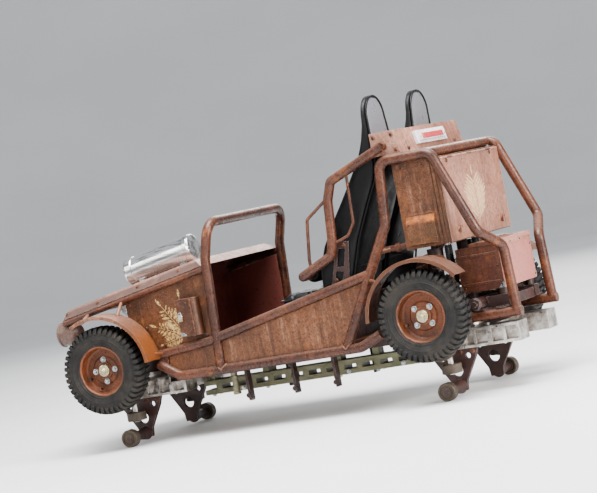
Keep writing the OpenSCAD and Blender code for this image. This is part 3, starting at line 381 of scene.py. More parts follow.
# Places where the sheets look different: (low corner, high corner, colour, amount, softness), with y taken
# from the middle of the car
SHEET_ZONES = (
    ((0.500, 0.405, 0.300), (0.640, 0.560, 0.520), (0.150, 0.047, 0.013), 1.0, 0.045),
    ((0.680, 0.405, 0.520), (0.960, 0.560, 0.700), (0.300, 0.155, 0.115), 0.85, 0.050),
    ((-0.520, 0.365, 0.280), (0.270, 0.400, 0.620), (0.205, 0.085, 0.038), 0.80, 0.060),
    ((-1.030, 0.180, 0.400), (-0.830, 0.220, 0.645), (0.085, 0.026, 0.020), 0.92, 0.020),
    # The lower box's rear face in pale pink: painted light on the rear face.
    ((-1.070, -1.0, 0.400), (-1.0350, 0.230, 0.660), (0.400, 0.165, 0.140), 1.0, 0.0012),
    ((-0.850, 0.354, 0.770), (-0.690, 0.372, 0.815), (0.480, 0.150, 0.030), 0.95, 0.006),
    ((-0.850, 0.364, 0.670), (-0.690, 0.372, 0.765), (0.150, 0.080, 0.022), 0.60, 0.015),
    # The cowl's inner faces, lighter and pinker than the sheet: painted light inside the shaded cowl.
    ((0.200, -1.0, 0.300), (0.580, INNER_FACE, 0.800), (0.210, 0.072, 0.060), 1.0, 0.0006),
    ((-0.960, 0.405, 0.380), (-0.480, 0.560, 0.660), (0.085, 0.034, 0.018), 1.0, 0.040),
)
PALE_ZONES = (
    ((0.250, 0.3660, 0.500), (1.120, 0.450, 0.850), (0.060, 0.029, 0.021), 1.0, 0.006),
    ((0.330, -1.0, 0.500), (1.120, 0.450, 0.770), (0.130, 0.066, 0.052), 0.90, 0.050),
    ((-0.920, -1.0, 0.950), (-0.890, 0.340, 1.040), (0.200, 0.085, 0.055), 0.85, 0.040),
    ((-0.920, 0.250, 0.660), (-0.890, 0.400, 1.040), (0.250, 0.105, 0.060), 0.85, 0.050),
    ((-0.920, -1.0, 0.660), (-0.890, 0.400, 0.730), (0.260, 0.110, 0.060), 0.80, 0.035),
    ((-0.760, 0.3650, 1.080), (-0.600, 0.400, 1.200), (0.300, 0.165, 0.120), 0.80, 0.003),
)


def make_finishes():
    """Makes each finish once; FINISH holds them by name."""
    look = bpy.context.scene.coaster_finish
    sheet, tube, pale, orange, rubbed, beam = (
        tuple(v) for v in (look.sheet, look.tube, look.pale, look.orange, look.rubbed, look.beam))
    pale_rust = (0.40, 0.175, 0.085)
    rusted_steel("rusted_brown_sheet", sheet, (0.050, 0.020, 0.012), orange, rubbed, bloom=0.60, runs=0.45,
                 zones=SHEET_ZONES)
    rusted_steel("rusted_frame_tube", tube, (0.040, 0.015, 0.011), orange, rubbed, bloom=0.60, runs=0.0,
                 rough=0.28, grain=1.2, edge=0.002, dust_and_sheen=0.16)
    # The pale sheet is the rust painted paler and pinker, as a painted sky reflection.
    rusted_steel("rusted_pale_sheet", pale, (0.260, 0.115, 0.075), pale_rust, (0.66, 0.48, 0.40), bloom=0.50,
                 runs=0.50, rough=0.36, dust_and_sheen=0.15, zones=PALE_ZONES)
    rusted_steel("rusted_lamp_bowl", (0.165, 0.105, 0.088), (0.045, 0.026, 0.020), orange, rubbed, bloom=0.3,
                 runs=0.6, rough=0.30, grain=1.5)
    rusted_steel("rusted_rim", (0.175, 0.052, 0.020), (0.060, 0.020, 0.010), (0.36, 0.12, 0.03), rubbed,
                 bloom=0.70, runs=0.1, rough=0.34, grain=2.4, edge=0.0025, dust_and_sheen=0.10)
    painted("dark_chassis_paint", (0.050, 0.022, 0.018), (0.020, 0.014, 0.012), 0.45)
    painted("olive_beam_paint", beam, (0.080, 0.078, 0.044), 0.42)
    painted("white_lamp", (0.70, 0.66, 0.66), (0.48, 0.45, 0.45), 0.25, 0.1)
    dull_metal("cast_aluminium", (0.66, 0.62, 0.58), (0.12, 0.10, 0.08), 0.34, dirt=0.65)
    dull_metal("zinc", (0.50, 0.53, 0.55), (0.16, 0.15, 0.13), 0.28, grain=90.0, dirt=0.45)
    dull_metal("brass", (0.60, 0.53, 0.36), (0.16, 0.12, 0.07), 0.28, grain=90.0, dirt=0.4)
    dull_metal("weld_bead", (0.190, 0.090, 0.055), (0.060, 0.030, 0.020), 0.45, 0.2, grain=140.0)
    dull_metal("khaki_steel", (0.28, 0.26, 0.17), (0.10, 0.09, 0.06), 0.42, 0.3, grain=80.0)
    polished("polished_cylinder", (0.90, 0.89, 0.88), 0.22)
    vinyl("black_seat_shell", (0.004, 0.004, 0.0045), (0.009, 0.009, 0.010), 0.46)
    vinyl("black_seat_cover", (0.004, 0.004, 0.0045), (0.009, 0.009, 0.010), 0.42, 900.0)
    # grey_seat_cover is black; its grey top over the headrest is a painted sheen of the sky.
    vinyl("grey_seat_cover", (0.007, 0.007, 0.0075), (0.015, 0.015, 0.016), 0.34, 900.0,
          top=(0.150, 0.153, 0.163))
    lens_glass("red_lens", (0.50, 0.045, 0.050))
    lens_glass("clear_lens", (0.55, 0.56, 0.56), 0.04)
    rubber("tyre_rubber", (0.010, 0.0095, 0.009), (0.085, 0.070, 0.052), 0.30)
    rubber("hose_rubber", (0.014, 0.014, 0.015), (0.060, 0.056, 0.050), 0.25, 0.5)
    rubber("rail_wheel_tread", (0.060, 0.045, 0.032), (0.13, 0.10, 0.07), 0.4, 0.5)
    stencil("pale_gold_stencil", (0.56, 0.41, 0.17), (0.17, 0.075, 0.035))
    stencil("faded_gold_stencil", (0.50, 0.37, 0.20), (0.42, 0.23, 0.17))
    floor_paint("studio_floor", (0.74, 0.74, 0.73), (0.78, 0.78, 0.77))


# Shapes
def square_to(axis):
    """The axis at length one, and two directions square to it and to each other."""
    axis = Vector(axis).normalized()
    side = axis.orthogonal().normalized()
    return axis, side, axis.cross(side)


def around(centre, u, v, radius, count):
    """Points on a circle, from the direction u towards the direction v."""
    return [centre + (u * math.cos(a) + v * math.sin(a)) * radius
            for a in (2 * math.pi * i / count for i in range(count))]


def subdivide(made, levels):
    """Smooths an object by subdivision, the same in the view and in a render."""
    smooth = made.modifiers.new("smooth form", "SUBSURF")
    smooth.levels = smooth.render_levels = levels


class Form:
    """Gathers the points and faces of one piece, each face with its finish."""

    def __init__(self):
        self.bm = bmesh.new()
        self.used = []
        self.slot = 0

    def finish(self, name):
        """Gives this finish to the faces that follow."""
        if name not in self.used:
            self.used.append(name)
        self.slot = self.used.index(name)
        return self

    def face(self, points):
        made = self.bm.faces.new(points)
        made.material_index = self.slot
        made.smooth = True

    def ring(self, places):
        return [self.bm.verts.new(place) for place in places]

    def bridge(self, low, high, closed=True):
        """Faces between two rows of points; a row of one point closes to a tip."""
        count = max(len(low), len(high))
        for i in range(count if closed else count - 1):
            j = (i + 1) % count
            if len(low) == 1:
                self.face((low[0], high[i], high[j]))
            elif len(high) == 1:
                self.face((low[i], high[0], low[j]))
            else:
                self.face((low[i], high[i], high[j], low[j]))

    def loft(self, rows, closed=True, caps=True):
        rings = [self.ring(row) for row in rows]
        for low, high in zip(rings, rings[1:]):
            self.bridge(low, high, closed)
        if caps:
            for end in (rings[0], rings[-1]):
                if len(end) > 2:
                    self.face(end)
        return rings

    def ladder(self, ring):
        """Closes a ring across, from its one side to its other, so that a bent face stays smooth."""
        for i in range(len(ring) // 2):
            corners = (ring[i], ring[i + 1], ring[-2 - i], ring[-1 - i])
            if len(set(corners)) > 2:
                self.face(tuple(dict.fromkeys(corners)))

    def lathe(self, centre, axis, profile, turns):
        """Turns a profile of (radius, place along the axis) round the axis."""
        axis, u, v = square_to(axis)
        rows = []
        for radius, along in profile:
            middle = centre + axis * along
            rows.append(around(middle, u, v, radius, turns) if radius > 1e-6 else [middle])
        self.loft(rows)

    def tube(self, path, radius, sides, closed=False):
        """A round bar along a path; radius is a number or one for each point."""
        path = [Vector(p) for p in path]
        count = len(path)
        radii = radius if hasattr(radius, "__len__") else [radius] * count
        rows = []
        normal = None
        for i, point in enumerate(path):
            before = path[i - 1] if i or closed else point
            after = path[(i + 1) % count] if i < count - 1 or closed else point
            ahead = (after - before).normalized()
            normal = ahead.orthogonal() if normal is None else normal - ahead * normal.dot(ahead)
            normal.normalize()
            rows.append(around(point, normal, ahead.cross(normal), radii[i], sides))
        rings = self.loft(rows, caps=not closed)
        if closed:
            first, last = rings[0], rings[-1]
            turn = min(range(sides), key=lambda k: (first[k].co - last[0].co).length)
            self.bridge(last, first[turn:] + first[:turn])

    def slab(self, outline, depth):
        """A flat plate of any outline, as thick as the vector depth."""
        self.loft([outline, [Vector(p) + depth for p in outline]])

    def block(self, low, high):
        (x0, y0, z0), (x1, y1, z1) = low, high
        self.slab([Vector((x, y, z0)) for x, y in ((x0, y0), (x1, y0), (x1, y1), (x0, y1))], UP * (z1 - z0))

    def bolt(self, place, axis, across, height, washer=1.35):
        """A hexagon bolt head on a washer, with its corners turned off."""
        axis, u, v = square_to(axis)
        rim = across * washer / 2 * 1.15
        self.lathe(place - axis * 0.001, axis, [(0, 0), (rim, 0), (rim, 0.0024), (0, 0.0024)], 20)
        corner = across / math.sqrt(3)
        self.loft([around(place + axis * along, u, v, corner * part, 6)
                   for along, part in ((0, 1), (height * 0.8, 1), (height, 0.88))])

    def screw(self, place, axis, across):
        """A round-headed screw with a low dome."""
        r = across / 2
        self.lathe(place, axis, [(0, -0.001), (r, -0.001), (r, 0.001), (r * 0.85, 0.0028), (r * 0.5, 0.0040),
                                 (0, 0.0044)], 20)

    def knuckle(self, centre, axis, reach, shoulder, neck, radius, turns):
        """A hinge's knuckle, which keeps its radius up to its shoulders and narrows to its ends."""
        self.lathe(centre, axis, [(0, -reach), (neck, -reach), (radius, -shoulder), (radius, shoulder),
                                  (neck, reach), (0, reach)], turns)

    def weld(self, path, radius, seed):
        """A bead of weld along a path, uneven as if laid by hand."""
        path = [Vector(p) for p in path]
        radii = [radius * (1 + 0.28 * noise.noise(p * 260 + Vector((seed, 0, 0)))) for p in path]
        self.tube(path, radii, 8)

    def piece(self, name, body, ease=0.0, levels=0, sharp=35):
        """Makes the object, and lets it ride on a body of the car."""
        bmesh.ops.recalc_face_normals(self.bm, faces=self.bm.faces)
        mesh = bpy.data.meshes.new(name)
        self.bm.to_mesh(mesh)
        self.bm.free()
        for finish in self.used:
            mesh.materials.append(FINISH[finish])
        if not levels:
            mesh.set_sharp_from_angle(angle=math.radians(sharp))
        made = bpy.data.objects.new(name, mesh)
        bpy.context.scene.collection.objects.link(made)
        if ease:
            bevel = made.modifiers.new("eased edges", "BEVEL")
            bevel.width, bevel.segments, bevel.limit_method = ease, 2, "ANGLE"
            bevel.harden_normals = False
        if levels:
            subdivide(made, levels)
        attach(made, body)
        return made


def along_table(value, table):
    """Reads a table of (place, amount) rows at any place between them."""
    for (a, start), (b, end) in zip(table, table[1:]):
        if value <= b:
            return start + (end - start) * max(0.0, (value - a) / (b - a))
    return table[-1][1]


class COASTER_OT_finish_frame(bpy.types.Operator):
    """Give every solid of the frame its finish"""

    bl_idname = "coaster.finish_frame"
    bl_label = "Finish Frame"

    def execute(self, context):
        make_finishes()
        for part in frame["record"]["subparts"]:
            node = NODES[part["node"]]
            node.data.materials.clear()
            node.data.materials.append(FINISH[part["material_slot"]])
        return {"FINISHED"}


# Wheels
class CoasterWheels(bpy.types.PropertyGroup):
    """Sizes of the road tyres' tread and of the wheels' fittings."""

    lugs: IntProperty(name="Lugs", description="Lugs on each shoulder of a tyre", default=44, min=20, max=60)
    lug_depth: FloatProperty(
        name="Lug depth", description="Height of a lug over the groove", subtype="DISTANCE", default=0.012,
        min=0.004)
    bolt_circle: FloatProperty(
        name="Bolt circle", description="Diameter of the circle of a wheel's nuts", subtype="DISTANCE",
        default=0.1)


class COASTER_OT_road_tyres(bpy.types.Operator):
    """Mould the four lugged road tyres"""

    bl_idname = "coaster.road_tyres"
    bl_label = "Road Tyres"

    def execute(self, context):
        look = context.scene.coaster_wheels
        for name, centre, _, body in road_wheels():
            low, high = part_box("tyre_" + name)
            radius, half = (high.z - low.z) / 2, (high.y - low.y) / 2
            form = Form().finish("tyre_rubber")
            self.carcass(form, centre, radius, half, look.lug_depth)
            # The two shoulders' lugs stand in turn
            for hand, start in ((1, 0.25), (-1, 0.75)):
                for i in range(look.lugs):
                    self.lug(form, centre, (i + start) / look.lugs, hand, radius, half, look)
            tyre = form.piece("road_tyre_" + name, body, sharp=28)
            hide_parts("tyre_" + name)
        return {"FINISHED"}

    def carcass(self, form, centre, radius, half, depth):
        """The tyre under its lugs: bead, side wall with its two raised rings, and the groove's floor."""
        floor = radius - depth
        # Drawn for a tyre 116 mm wide, as (radius, place across)
        wall = [(0.1075, 0.0440), (0.1090, 0.0470), (0.1130, 0.0500), (0.1180, 0.0520), (0.1195, 0.0545),
                (0.1225, 0.0548), (0.1240, 0.0530), (0.1320, 0.0552), (0.1430, 0.0566), (0.1445, 0.0580),
                (0.1475, 0.0580), (0.1490, 0.0566), (0.1580, 0.0560), (0.1680, 0.0540), (0.1760, 0.0510),
                (floor - 0.005, 0.0460), (floor - 0.001, 0.0380), (floor, 0.0200)]
        scale = half / 0.0580
        wall = [(r, y * scale) for r, y in wall]
        profile = [(r, -y) for r, y in wall] + [(floor, 0.0)] + wall[::-1]
        turns = 120
        rings = [form.ring(centre + Vector((r * math.cos(a), y, r * math.sin(a))) for r, y in profile)
                 for a in (2 * math.pi * i / turns for i in range(turns))]
        for i, ring in enumerate(rings):
            form.bridge(ring, rings[(i + 1) % turns])

    # A lug from side to side, in half widths, and how far its top is turned off; None is sunk in the tread
    LUG_SECTION = ((-1.18, None), (-1.0, -0.0016), (-0.80, 0), (0.80, 0), (1.0, -0.0016), (1.18, None))

    def lug(self, form, centre, share, hand, radius, half, look):
        """One lug from the middle of the tread over the shoulder, leaning back at its inner end."""
        path = [(0.0030, radius - 0.0010, 0.75), (0.0200, radius, 0.55), (0.0360, radius - 0.0015, 0.22),
                (half - 0.0085, radius - 0.0060, 0.0), (half - 0.0020, radius - 0.0150, 0.0),
                (half, radius - 0.0270, 0.0), (half - 0.0012, radius - 0.0330, 0.0)]
        width = 2 * math.pi * radius / look.lugs * 0.30
        rows = []
        for y, r, lean in path:
            middle = 2 * math.pi * share - lean * hand * width * 1.5 / radius
            tread = y < half * 0.8
            sunk = (r - look.lug_depth - 0.004, y) if tread else (r - 0.010, half - 0.014)
            row = []
            for place, eased in self.LUG_SECTION:
                a = middle + place * width / radius
                high, out = sunk if eased is None else (r + eased, y)
                row.append(centre + Vector((high * math.cos(a), hand * out, high * math.sin(a))))
            rows.append(row)
        form.loft(rows)


class COASTER_OT_wheel_fittings(bpy.types.Operator):
    """Fit the hub caps, nuts and valves of the road wheels, and the running wheels' bolts"""

    bl_idname = "coaster.wheel_fittings"
    bl_label = "Wheel Fittings"

    def execute(self, context):
        look = context.scene.coaster_wheels
        for name, centre, side, body in road_wheels():
            out = Vector((0, side, 0))
            form = Form().finish("brass")
            form.lathe(centre + out * 0.0185, out, [
                (0, 0), (0.0285, 0), (0.0285, 0.0030), (0.0275, 0.0045), (0.0272, 0.0080), (0.0262, 0.0100),
                (0.0235, 0.0112), (0.0200, 0.0112), (0.0190, 0.0108), (0, 0.0108)], 40)
            form.bolt(centre + out * 0.0290, out, 0.0270, 0.0100, 1.15)
            form.lathe(centre + out * 0.0380, out,
                       [(0, 0), (0.0080, 0), (0.0080, 0.0040), (0.0060, 0.0060), (0, 0.0060)], 24)
            form.finish("zinc")
            # The rear wheels stand an eighth of a turn on from the front ones
            first = math.pi / 4 if name.startswith("rear") else 0.0
            for i in range(4):
                a = first + math.pi / 2 * i
                place = centre + Vector((math.cos(a), 0, math.sin(a))) * look.bolt_circle / 2 + out * 0.0150
                form.bolt(place, out, 0.0175, 0.0115)
                form.lathe(place + out * 0.0110, out,
                           [(0, 0), (0.0055, 0), (0.0055, 0.0035), (0.0045, 0.0045), (0, 0.0045)], 20)
            # The valve
            form.finish("hose_rubber")
            a = math.radians(-20 if side > 0 else 200)
            foot = centre + Vector((math.cos(a) * 0.086, 0, math.sin(a) * 0.086)) + out * 0.006
            form.tube([foot, foot + out * 0.012, foot + out * 0.022 - (foot - centre) * 0.03], 0.0052, 10)
            form.piece("wheel_fittings_" + name, body)
        self.rail_wheel_bolts()
        return {"FINISHED"}

    def rail_wheel_bolts(self):
        """Six bolts on both faces of each running wheel."""
        circle = 0.025
        for end in ENDS:
            centre = joint_place(f"running_wheels_{end}_spin")
            form = Form().finish("zinc")
            for side in SIDES:
                for face, way in ((0.4055, side), (0.3545, -side)):
                    for i in range(6):
                        a = math.pi / 3 * i
                        place = Vector((centre.x + circle * math.cos(a), side * face,
                                        centre.z + circle * math.sin(a)))
                        form.bolt(place, (0, way, 0), 0.010, 0.005, 1.2)
            form.piece("running_wheel_bolts_" + end, "running_wheels_" + end)


# Seats
class CoasterSeats(bpy.types.PropertyGroup):
    """Sizes of the seats' padding."""

    wing: FloatProperty(
        name="Wing", description="Thickness of the padded wings beside a rider", subtype="DISTANCE",
        default=0.018)
    swell: FloatProperty(
        name="Swell", description="How far a cushion's skin may swell when it is stuffed", subtype="DISTANCE",
        default=0.009)


# The side view of a seat, as rows of (height, front of the back, front of the wings, rear)
SEAT_SIDE = (
    (0.506, -0.331, -0.256, -0.391), (0.560, -0.345, -0.256, -0.406), (0.640, -0.366, -0.259, -0.428),
    (0.740, -0.402, -0.298, -0.463), (0.800, -0.431, -0.338, -0.492), (0.852, -0.456, -0.370, -0.519),
    (0.927, -0.497, -0.424, -0.558), (0.998, -0.538, -0.473, -0.599), (1.060, -0.566, -0.514, -0.609),
    (1.110, -0.583, -0.543, -0.610), (1.160, -0.587, -0.563, -0.610), (1.236, -0.587, -0.583, -0.610),
    (1.300, -0.587, -0.586, -0.610), (1.352, -0.587, -0.586, -0.610))
# The front view of the left seat's inner edge, as (height, place); its outer edge is upright
SEAT_INNER = (
    (0.506, 0.014), (0.860, 0.014), (0.930, 0.034), (1.000, 0.068), (1.090, 0.104), (1.180, 0.138),
    (1.254, 0.152))
SEAT_OUTER = 0.349
# The headrest's round top, as the place across and the height of its middle, and its radius
EAR_MIDDLE = (0.252, 1.254)
EAR_RADIUS = 0.0985


def seat_side(height, column):
    """The place along the car where a column of SEAT_SIDE stands at a height."""
    return along_table(height, [(row[0], row[column]) for row in SEAT_SIDE])


def seat_width(height):
    """The inner and outer edge of the left seat at a height."""
    if height <= EAR_MIDDLE[1]:
        return along_table(height, SEAT_INNER), SEAT_OUTER
    reach = math.sqrt(max(0.0, EAR_RADIUS ** 2 - (height - EAR_MIDDLE[1]) ** 2))
    return EAR_MIDDLE[0] - reach, min(SEAT_OUTER, EAR_MIDDLE[0] + reach)


class COASTER_OT_seats(bpy.types.Operator):
    """Mould the two high seat shells with their wings, headrests and piping"""

    bl_idname = "coaster.seats"
    bl_label = "Seats"

    def execute(self, context):
        wing = context.scene.coaster_seats.wing
        for name, side in HANDS:
            self.shell(name, side, wing)
            self.piping(name, side)
            self.rear_panel(name, side)
            self.back_pad(name, side, wing)
        return {"FINISHED"}

    def heights(self):
        """Heights of the shell's sections, even up to the headrest and closer over its round top."""
        foot, middle = SEAT_SIDE[0][0], EAR_MIDDLE[1]
        rise = [foot + 0.034 * i for i in range(22)]
        top = [middle + EAR_RADIUS * math.sin(math.radians(degrees))
               for degrees in (8, 18, 28, 38, 48, 57, 66, 74, 81, 87)]
        return [h for h in rise if h < middle - 0.01] + [middle] + top

    def shell(self, name, side, wing):
        """The seat's shell, as one plan outline after another from its foot to its top."""
        form = Form().finish("black_seat_shell")
        rows = []
        for h in self.heights():
            front, tip, rear = (seat_side(h, column) for column in (1, 2, 3))
            inner, outer = seat_width(h)
            tip = max(tip, front + 0.003)
            soft = min(0.012, (outer - inner) * 0.2)
            t = min(wing, (outer - inner) * 0.3)
            deep = min(0.012, (tip - front) * 0.4)
            lip, waist, middle = tip - deep * 0.4, (front + tip) / 2 - 0.01, (inner + outer) / 2
            plan = [(lip, outer), (tip, outer - t * 0.5), (lip, outer - t), (front + deep, outer - t),
                    (front, outer - t - soft), (front - 0.002, middle), (front, inner + t + soft),
                    (front + deep, inner + t), (lip, inner + t), (tip, inner + t * 0.5), (lip, inner),
                    (waist, inner), (front - 0.004, inner), (rear + soft, inner), (rear, inner + soft),
                    (rear + 0.001, middle), (rear, outer - soft), (rear + soft, outer),
                    (front - 0.004, outer), (waist, outer)]
            rows.append([Vector((x, side * y, h)) for x, y in plan])
        form.loft(rows)
        shell = form.piece("seat_shell_" + name, "car_body", levels=2)
        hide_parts("seat_" + name)

    def ear_outline(self, inset, low):
        """Points along a headrest's edge, from its inner foot over the top to its outer foot."""
        feet = [low + (EAR_MIDDLE[1] - low) * i / 24 for i in range(24)]
        inner = [(seat_width(h)[0] + inset, h) for h in feet]
        outer = [(SEAT_OUTER - inset, h) for h in reversed(feet)]
        (across, up), radius = EAR_MIDDLE, EAR_RADIUS - inset
        top = [(min(across + radius * math.cos(a), SEAT_OUTER - inset), up + radius * math.sin(a))
               for a in (math.radians(degrees) for degrees in range(180, -1, -12))]
        return inner + top + outer

    def piping(self, name, side):
        """Black piping round the rear of the shell and along the front of its wings."""
        radius = 0.0042
        form = Form().finish("black_seat_cover")
        for column, sink in ((3, -0.0015), (2, -0.004)):
            form.tube([(seat_side(z, column) + sink, side * y, z) for y, z in self.ear_outline(0.004, 0.53)],
                      radius, 10)
        form.piece("seat_piping_" + name, "car_body")

    def rear_panel(self, name, side):
        """The cover on the back of the shell, a little crowned, black below and grey at the headrest, where
        the grey is a painted sheen.
        """
        form = Form().finish("grey_seat_cover")
        crown = ((0.010, -0.0030), (0.013, 0.0022), (0.024, 0.0048), (0.045, 0.0064), (0.070, 0.0072))
        rows = [[(seat_side(z, 3) - rise, side * y, z) for y, z in self.ear_outline(inset, 0.62 + inset)]
                for inset, rise in crown]
        rings = form.loft(rows, caps=False)
        form.ladder(rings[0])
        form.ladder(rings[-1])
        form.piece("seat_rear_cover_" + name, "car_body", sharp=60)

    def back_pad(self, name, side, wing):
        """The padded front of the back, sewn into four channels one above another."""
        form = Form().finish("black_seat_cover")
        foot, head, channel, fade, skin = 0.600, 1.3125, 0.178, 0.05, 0.003
        rows = []
        for h in (foot + 0.0125 * i for i in range(58)):
            inner, outer = seat_width(min(h, EAR_MIDDLE[1] - 0.001))
            inner, outer = inner + wing + 0.006, outer - wing - 0.006
            ends = max(0.0, min(1.0, (h - foot) / fade, (head - h) / fade))
            crown = 0.012 * math.sqrt(ends) * (0.72 + 0.28 * abs(math.sin(math.pi * (h - foot) / channel)))
            rows.append([(seat_side(h, 1) - skin + (crown + skin) * (1 - (2 * u - 1) ** 4),
                          side * (inner + (outer - inner) * u), h) for u in (k / 14 for k in range(15))])
        form.loft(rows, closed=False, caps=False)
        made = form.piece("seat_back_pad_" + name, "car_body", levels=1)
        made.modifiers.new("pad thickness", "SOLIDIFY").thickness = skin


class COASTER_OT_cushions(bpy.types.Operator):
    """Stuff the two seat cushions and the pad over the riders' laps"""

    bl_idname = "coaster.cushions"
    bl_label = "Cushions"

    def execute(self, context):
        swell = context.scene.coaster_seats.swell
        for name, _ in HANDS:
            self.cushion(name, swell)
        self.lap_pad(swell * 0.8)
        return {"FINISHED"}

    def stuff(self, form, swell):
        """Swells a closed form with cloth pressure, no further than swell, and returns its mesh."""
        mesh = bpy.data.meshes.new("stuffing")
        bmesh.ops.recalc_face_normals(form.bm, faces=form.bm.faces)
        form.bm.to_mesh(mesh)
        form.bm.free()
        made = bpy.data.objects.new("stuffing", mesh)
        scene = bpy.context.scene
        scene.collection.objects.link(made)
        remesh = made.modifiers.new("even skin", "REMESH")
        remesh.mode, remesh.voxel_size = "VOXEL", 0.006
        mesh = self.apply(made, mesh)
        rest = [v.co.copy() for v in mesh.vertices]
        cloth = made.modifiers.new("stuffed skin", "CLOTH")
        cloth.settings.use_pressure = True
        cloth.settings.uniform_pressure_force = 4
        cloth.settings.effector_weights.gravity = 0
        for number in range(1, 21):
            scene.frame_set(number)
        mesh = self.apply(made, mesh)
        scene.frame_set(1)
        for point, start in zip(mesh.vertices, rest):
            moved = point.co - start
            if moved.length > swell:
                point.co = start + moved.normalized() * swell
        bpy.data.objects.remove(made)
        mesh.materials.clear()
        mesh.materials.append(FINISH["black_seat_cover"])
        mesh.shade_smooth()
        return mesh

    def apply(self, made, old):
        """The mesh with its modifiers worked in."""
        shaped = bpy.data.meshes.new_from_object(made.evaluated_get(bpy.context.evaluated_depsgraph_get()))
        made.modifiers.clear()
        made.data = shaped
        bpy.data.meshes.remove(old)
        return shaped

    def show(self, name, mesh, body, node):
        """Puts a stuffed mesh in the place of its node."""
        made = bpy.data.objects.new(name, mesh)
        bpy.context.scene.collection.objects.link(made)
        subdivide(made, 1)
        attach(made, body)
        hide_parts(node)

    def cushion(self, name, swell):
        """A crowned seat cushion with three seams across it, flat where it rests on the pan."""
        low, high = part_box("seat_cushion_" + name)
        form = Form().finish("black_seat_cover")
        corner = 0.030
        rows = []
        for up, inset in ((0.0, 0.006), (0.35, 0.0), (0.70, 0.0), (1.0, 0.010)):
            z = low.z + 0.001 + (high.z - low.z - 0.016) * up
            edge = swell + 0.001 + inset + corner
            x0, x1, y0, y1 = low.x + edge, high.x - edge, low.y + edge, high.y - edge
            rows.append([Vector((x + corner * math.cos(a), y + corner * math.sin(a), z))
                         for x, y, start in ((x1, y1, 0), (x0, y1, 90), (x0, y0, 180), (x1, y0, 270))
                         for a in (math.radians(start + k * 18) for k in range(6))])
        form.loft(rows)
        mesh = self.stuff(form, swell)
        for point in mesh.vertices:
            across = (point.co.y - low.y) / (high.y - low.y)
            along = (point.co.x - low.x) / (high.x - low.x)
            top = max(0.0, (point.co.z - low.z) / (high.z - low.z) - 0.55)
            dip = sum(math.exp(-((along - seam) / 0.016) ** 2) for seam in (0.28, 0.52, 0.76))
            crown = 0.010 * (1 - (2 * across - 1) ** 2) * (1 - (2 * along - 1) ** 4)
            point.co.z += (crown - 0.010 * min(1.0, dip)) * min(1.0, top * 3)
            point.co.z = min(high.z + 0.006, max(low.z + 0.0005, point.co.z))
        self.show("seat_cushion_pad_" + name, mesh, "car_body", "seat_cushion_" + name)
        # The piping follows a rounded square
        radius, power = 0.0034, 8
        z = low.z + (high.z - low.z) * 0.55
        middle, half = (low + high) / 2, (high - low) / 2 - Vector((0.0035, 0.0035, 0))
        _, u, v = square_to(UP)
        path = []
        for d in around(Vector((0, 0, 0)), u, v, 1.0, 64):
            reach = (abs(d.x) ** power + abs(d.y) ** power) ** (1 / power)
            path.append((middle.x + d.x / reach * half.x, middle.y + d.y / reach * half.y, z))
        seams = Form().finish("grey_seat_cover")
        seams.tube(path, radius, 8, closed=True)
        seams.piece("seat_cushion_piping_" + name, "car_body")

    def lap_pad(self, swell):
        """The round pad on the restraint's cross bar, sewn at its ends and in its middle."""
        low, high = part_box("lap_pad")
        centre = (low + high) / 2
        radius = (high.z - low.z) / 2
        half = (high.y - low.y) / 2
        end = ((0, half - 0.006), (radius - 0.020, half - 0.006), (radius - 0.010, half - 0.014),
               (radius - 0.008, half - 0.03))
        form = Form().finish("black_seat_cover")
        form.lathe(centre, (0, 1, 0), [(r, -y) for r, y in end] + list(reversed(end)), 40)
        mesh = self.stuff(form, swell)
        for point in mesh.vertices:
            seam = sum(math.exp(-((point.co.y - y) / 0.004) ** 2) for y in (-0.15, 0, 0.15))
            out = Vector((point.co.x - centre.x, 0, point.co.z - centre.z))
            if out.length > radius * 0.6:
                point.co -= out.normalized() * 0.006 * min(1.0, seam)
        self.show("lap_pad_cover", mesh, "restraint", "lap_pad")


# Body fittings
class CoasterFittings(bpy.types.PropertyGroup):
    """Sizes of the small fittings on the body."""

    bolt: FloatProperty(
        name="Bolt", description="Width of a body bolt across its flats", subtype="DISTANCE", default=0.013)
    screw: FloatProperty(
        name="Screw", description="Diameter of a sheet screw's head", subtype="DISTANCE", default=0.011)
    weld: FloatProperty(
        name="Weld", description="Radius of a bead of weld", subtype="DISTANCE", default=0.0042)


# The bonnet's fall for each metre ahead, the middle of its rear edge, and the depth of its turned-off sides
BONNET_FALL = 0.18
BONNET_REAR = mm(301, 0, 794)
BONNET_EDGE = 0.038


def bonnet_top(x):
    """The height of the bonnet's flat top."""
    return BONNET_REAR.z - BONNET_FALL * (x - BONNET_REAR.x)


class COASTER_OT_bonnet_fittings(bpy.types.Operator):
    """Fit the bolts along the bonnet's edges, with their nuts inside"""

    bl_idname = "coaster.bonnet_fittings"
    bl_label = "Bonnet Fittings"

    def execute(self, context):
        look = context.scene.coaster_fittings
        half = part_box("bonnet")[1].y
        form = Form().finish("rusted_frame_tube")
        for side in SIDES:
            out = Vector((BONNET_FALL, side, 1)).normalized()
            for x in (0.420, 0.640, 0.860, 1.030):
                place = Vector((x, side * (half - BONNET_EDGE / 2), bonnet_top(x) - BONNET_EDGE / 2))
                form.bolt(place, out, look.bolt, 0.006)
                form.bolt(place - out * 0.0042, -out, look.bolt * 1.2, 0.008, 1.6)
        form.piece("bonnet_fittings", "car_body", ease=0.0004)
        return {"FINISHED"}


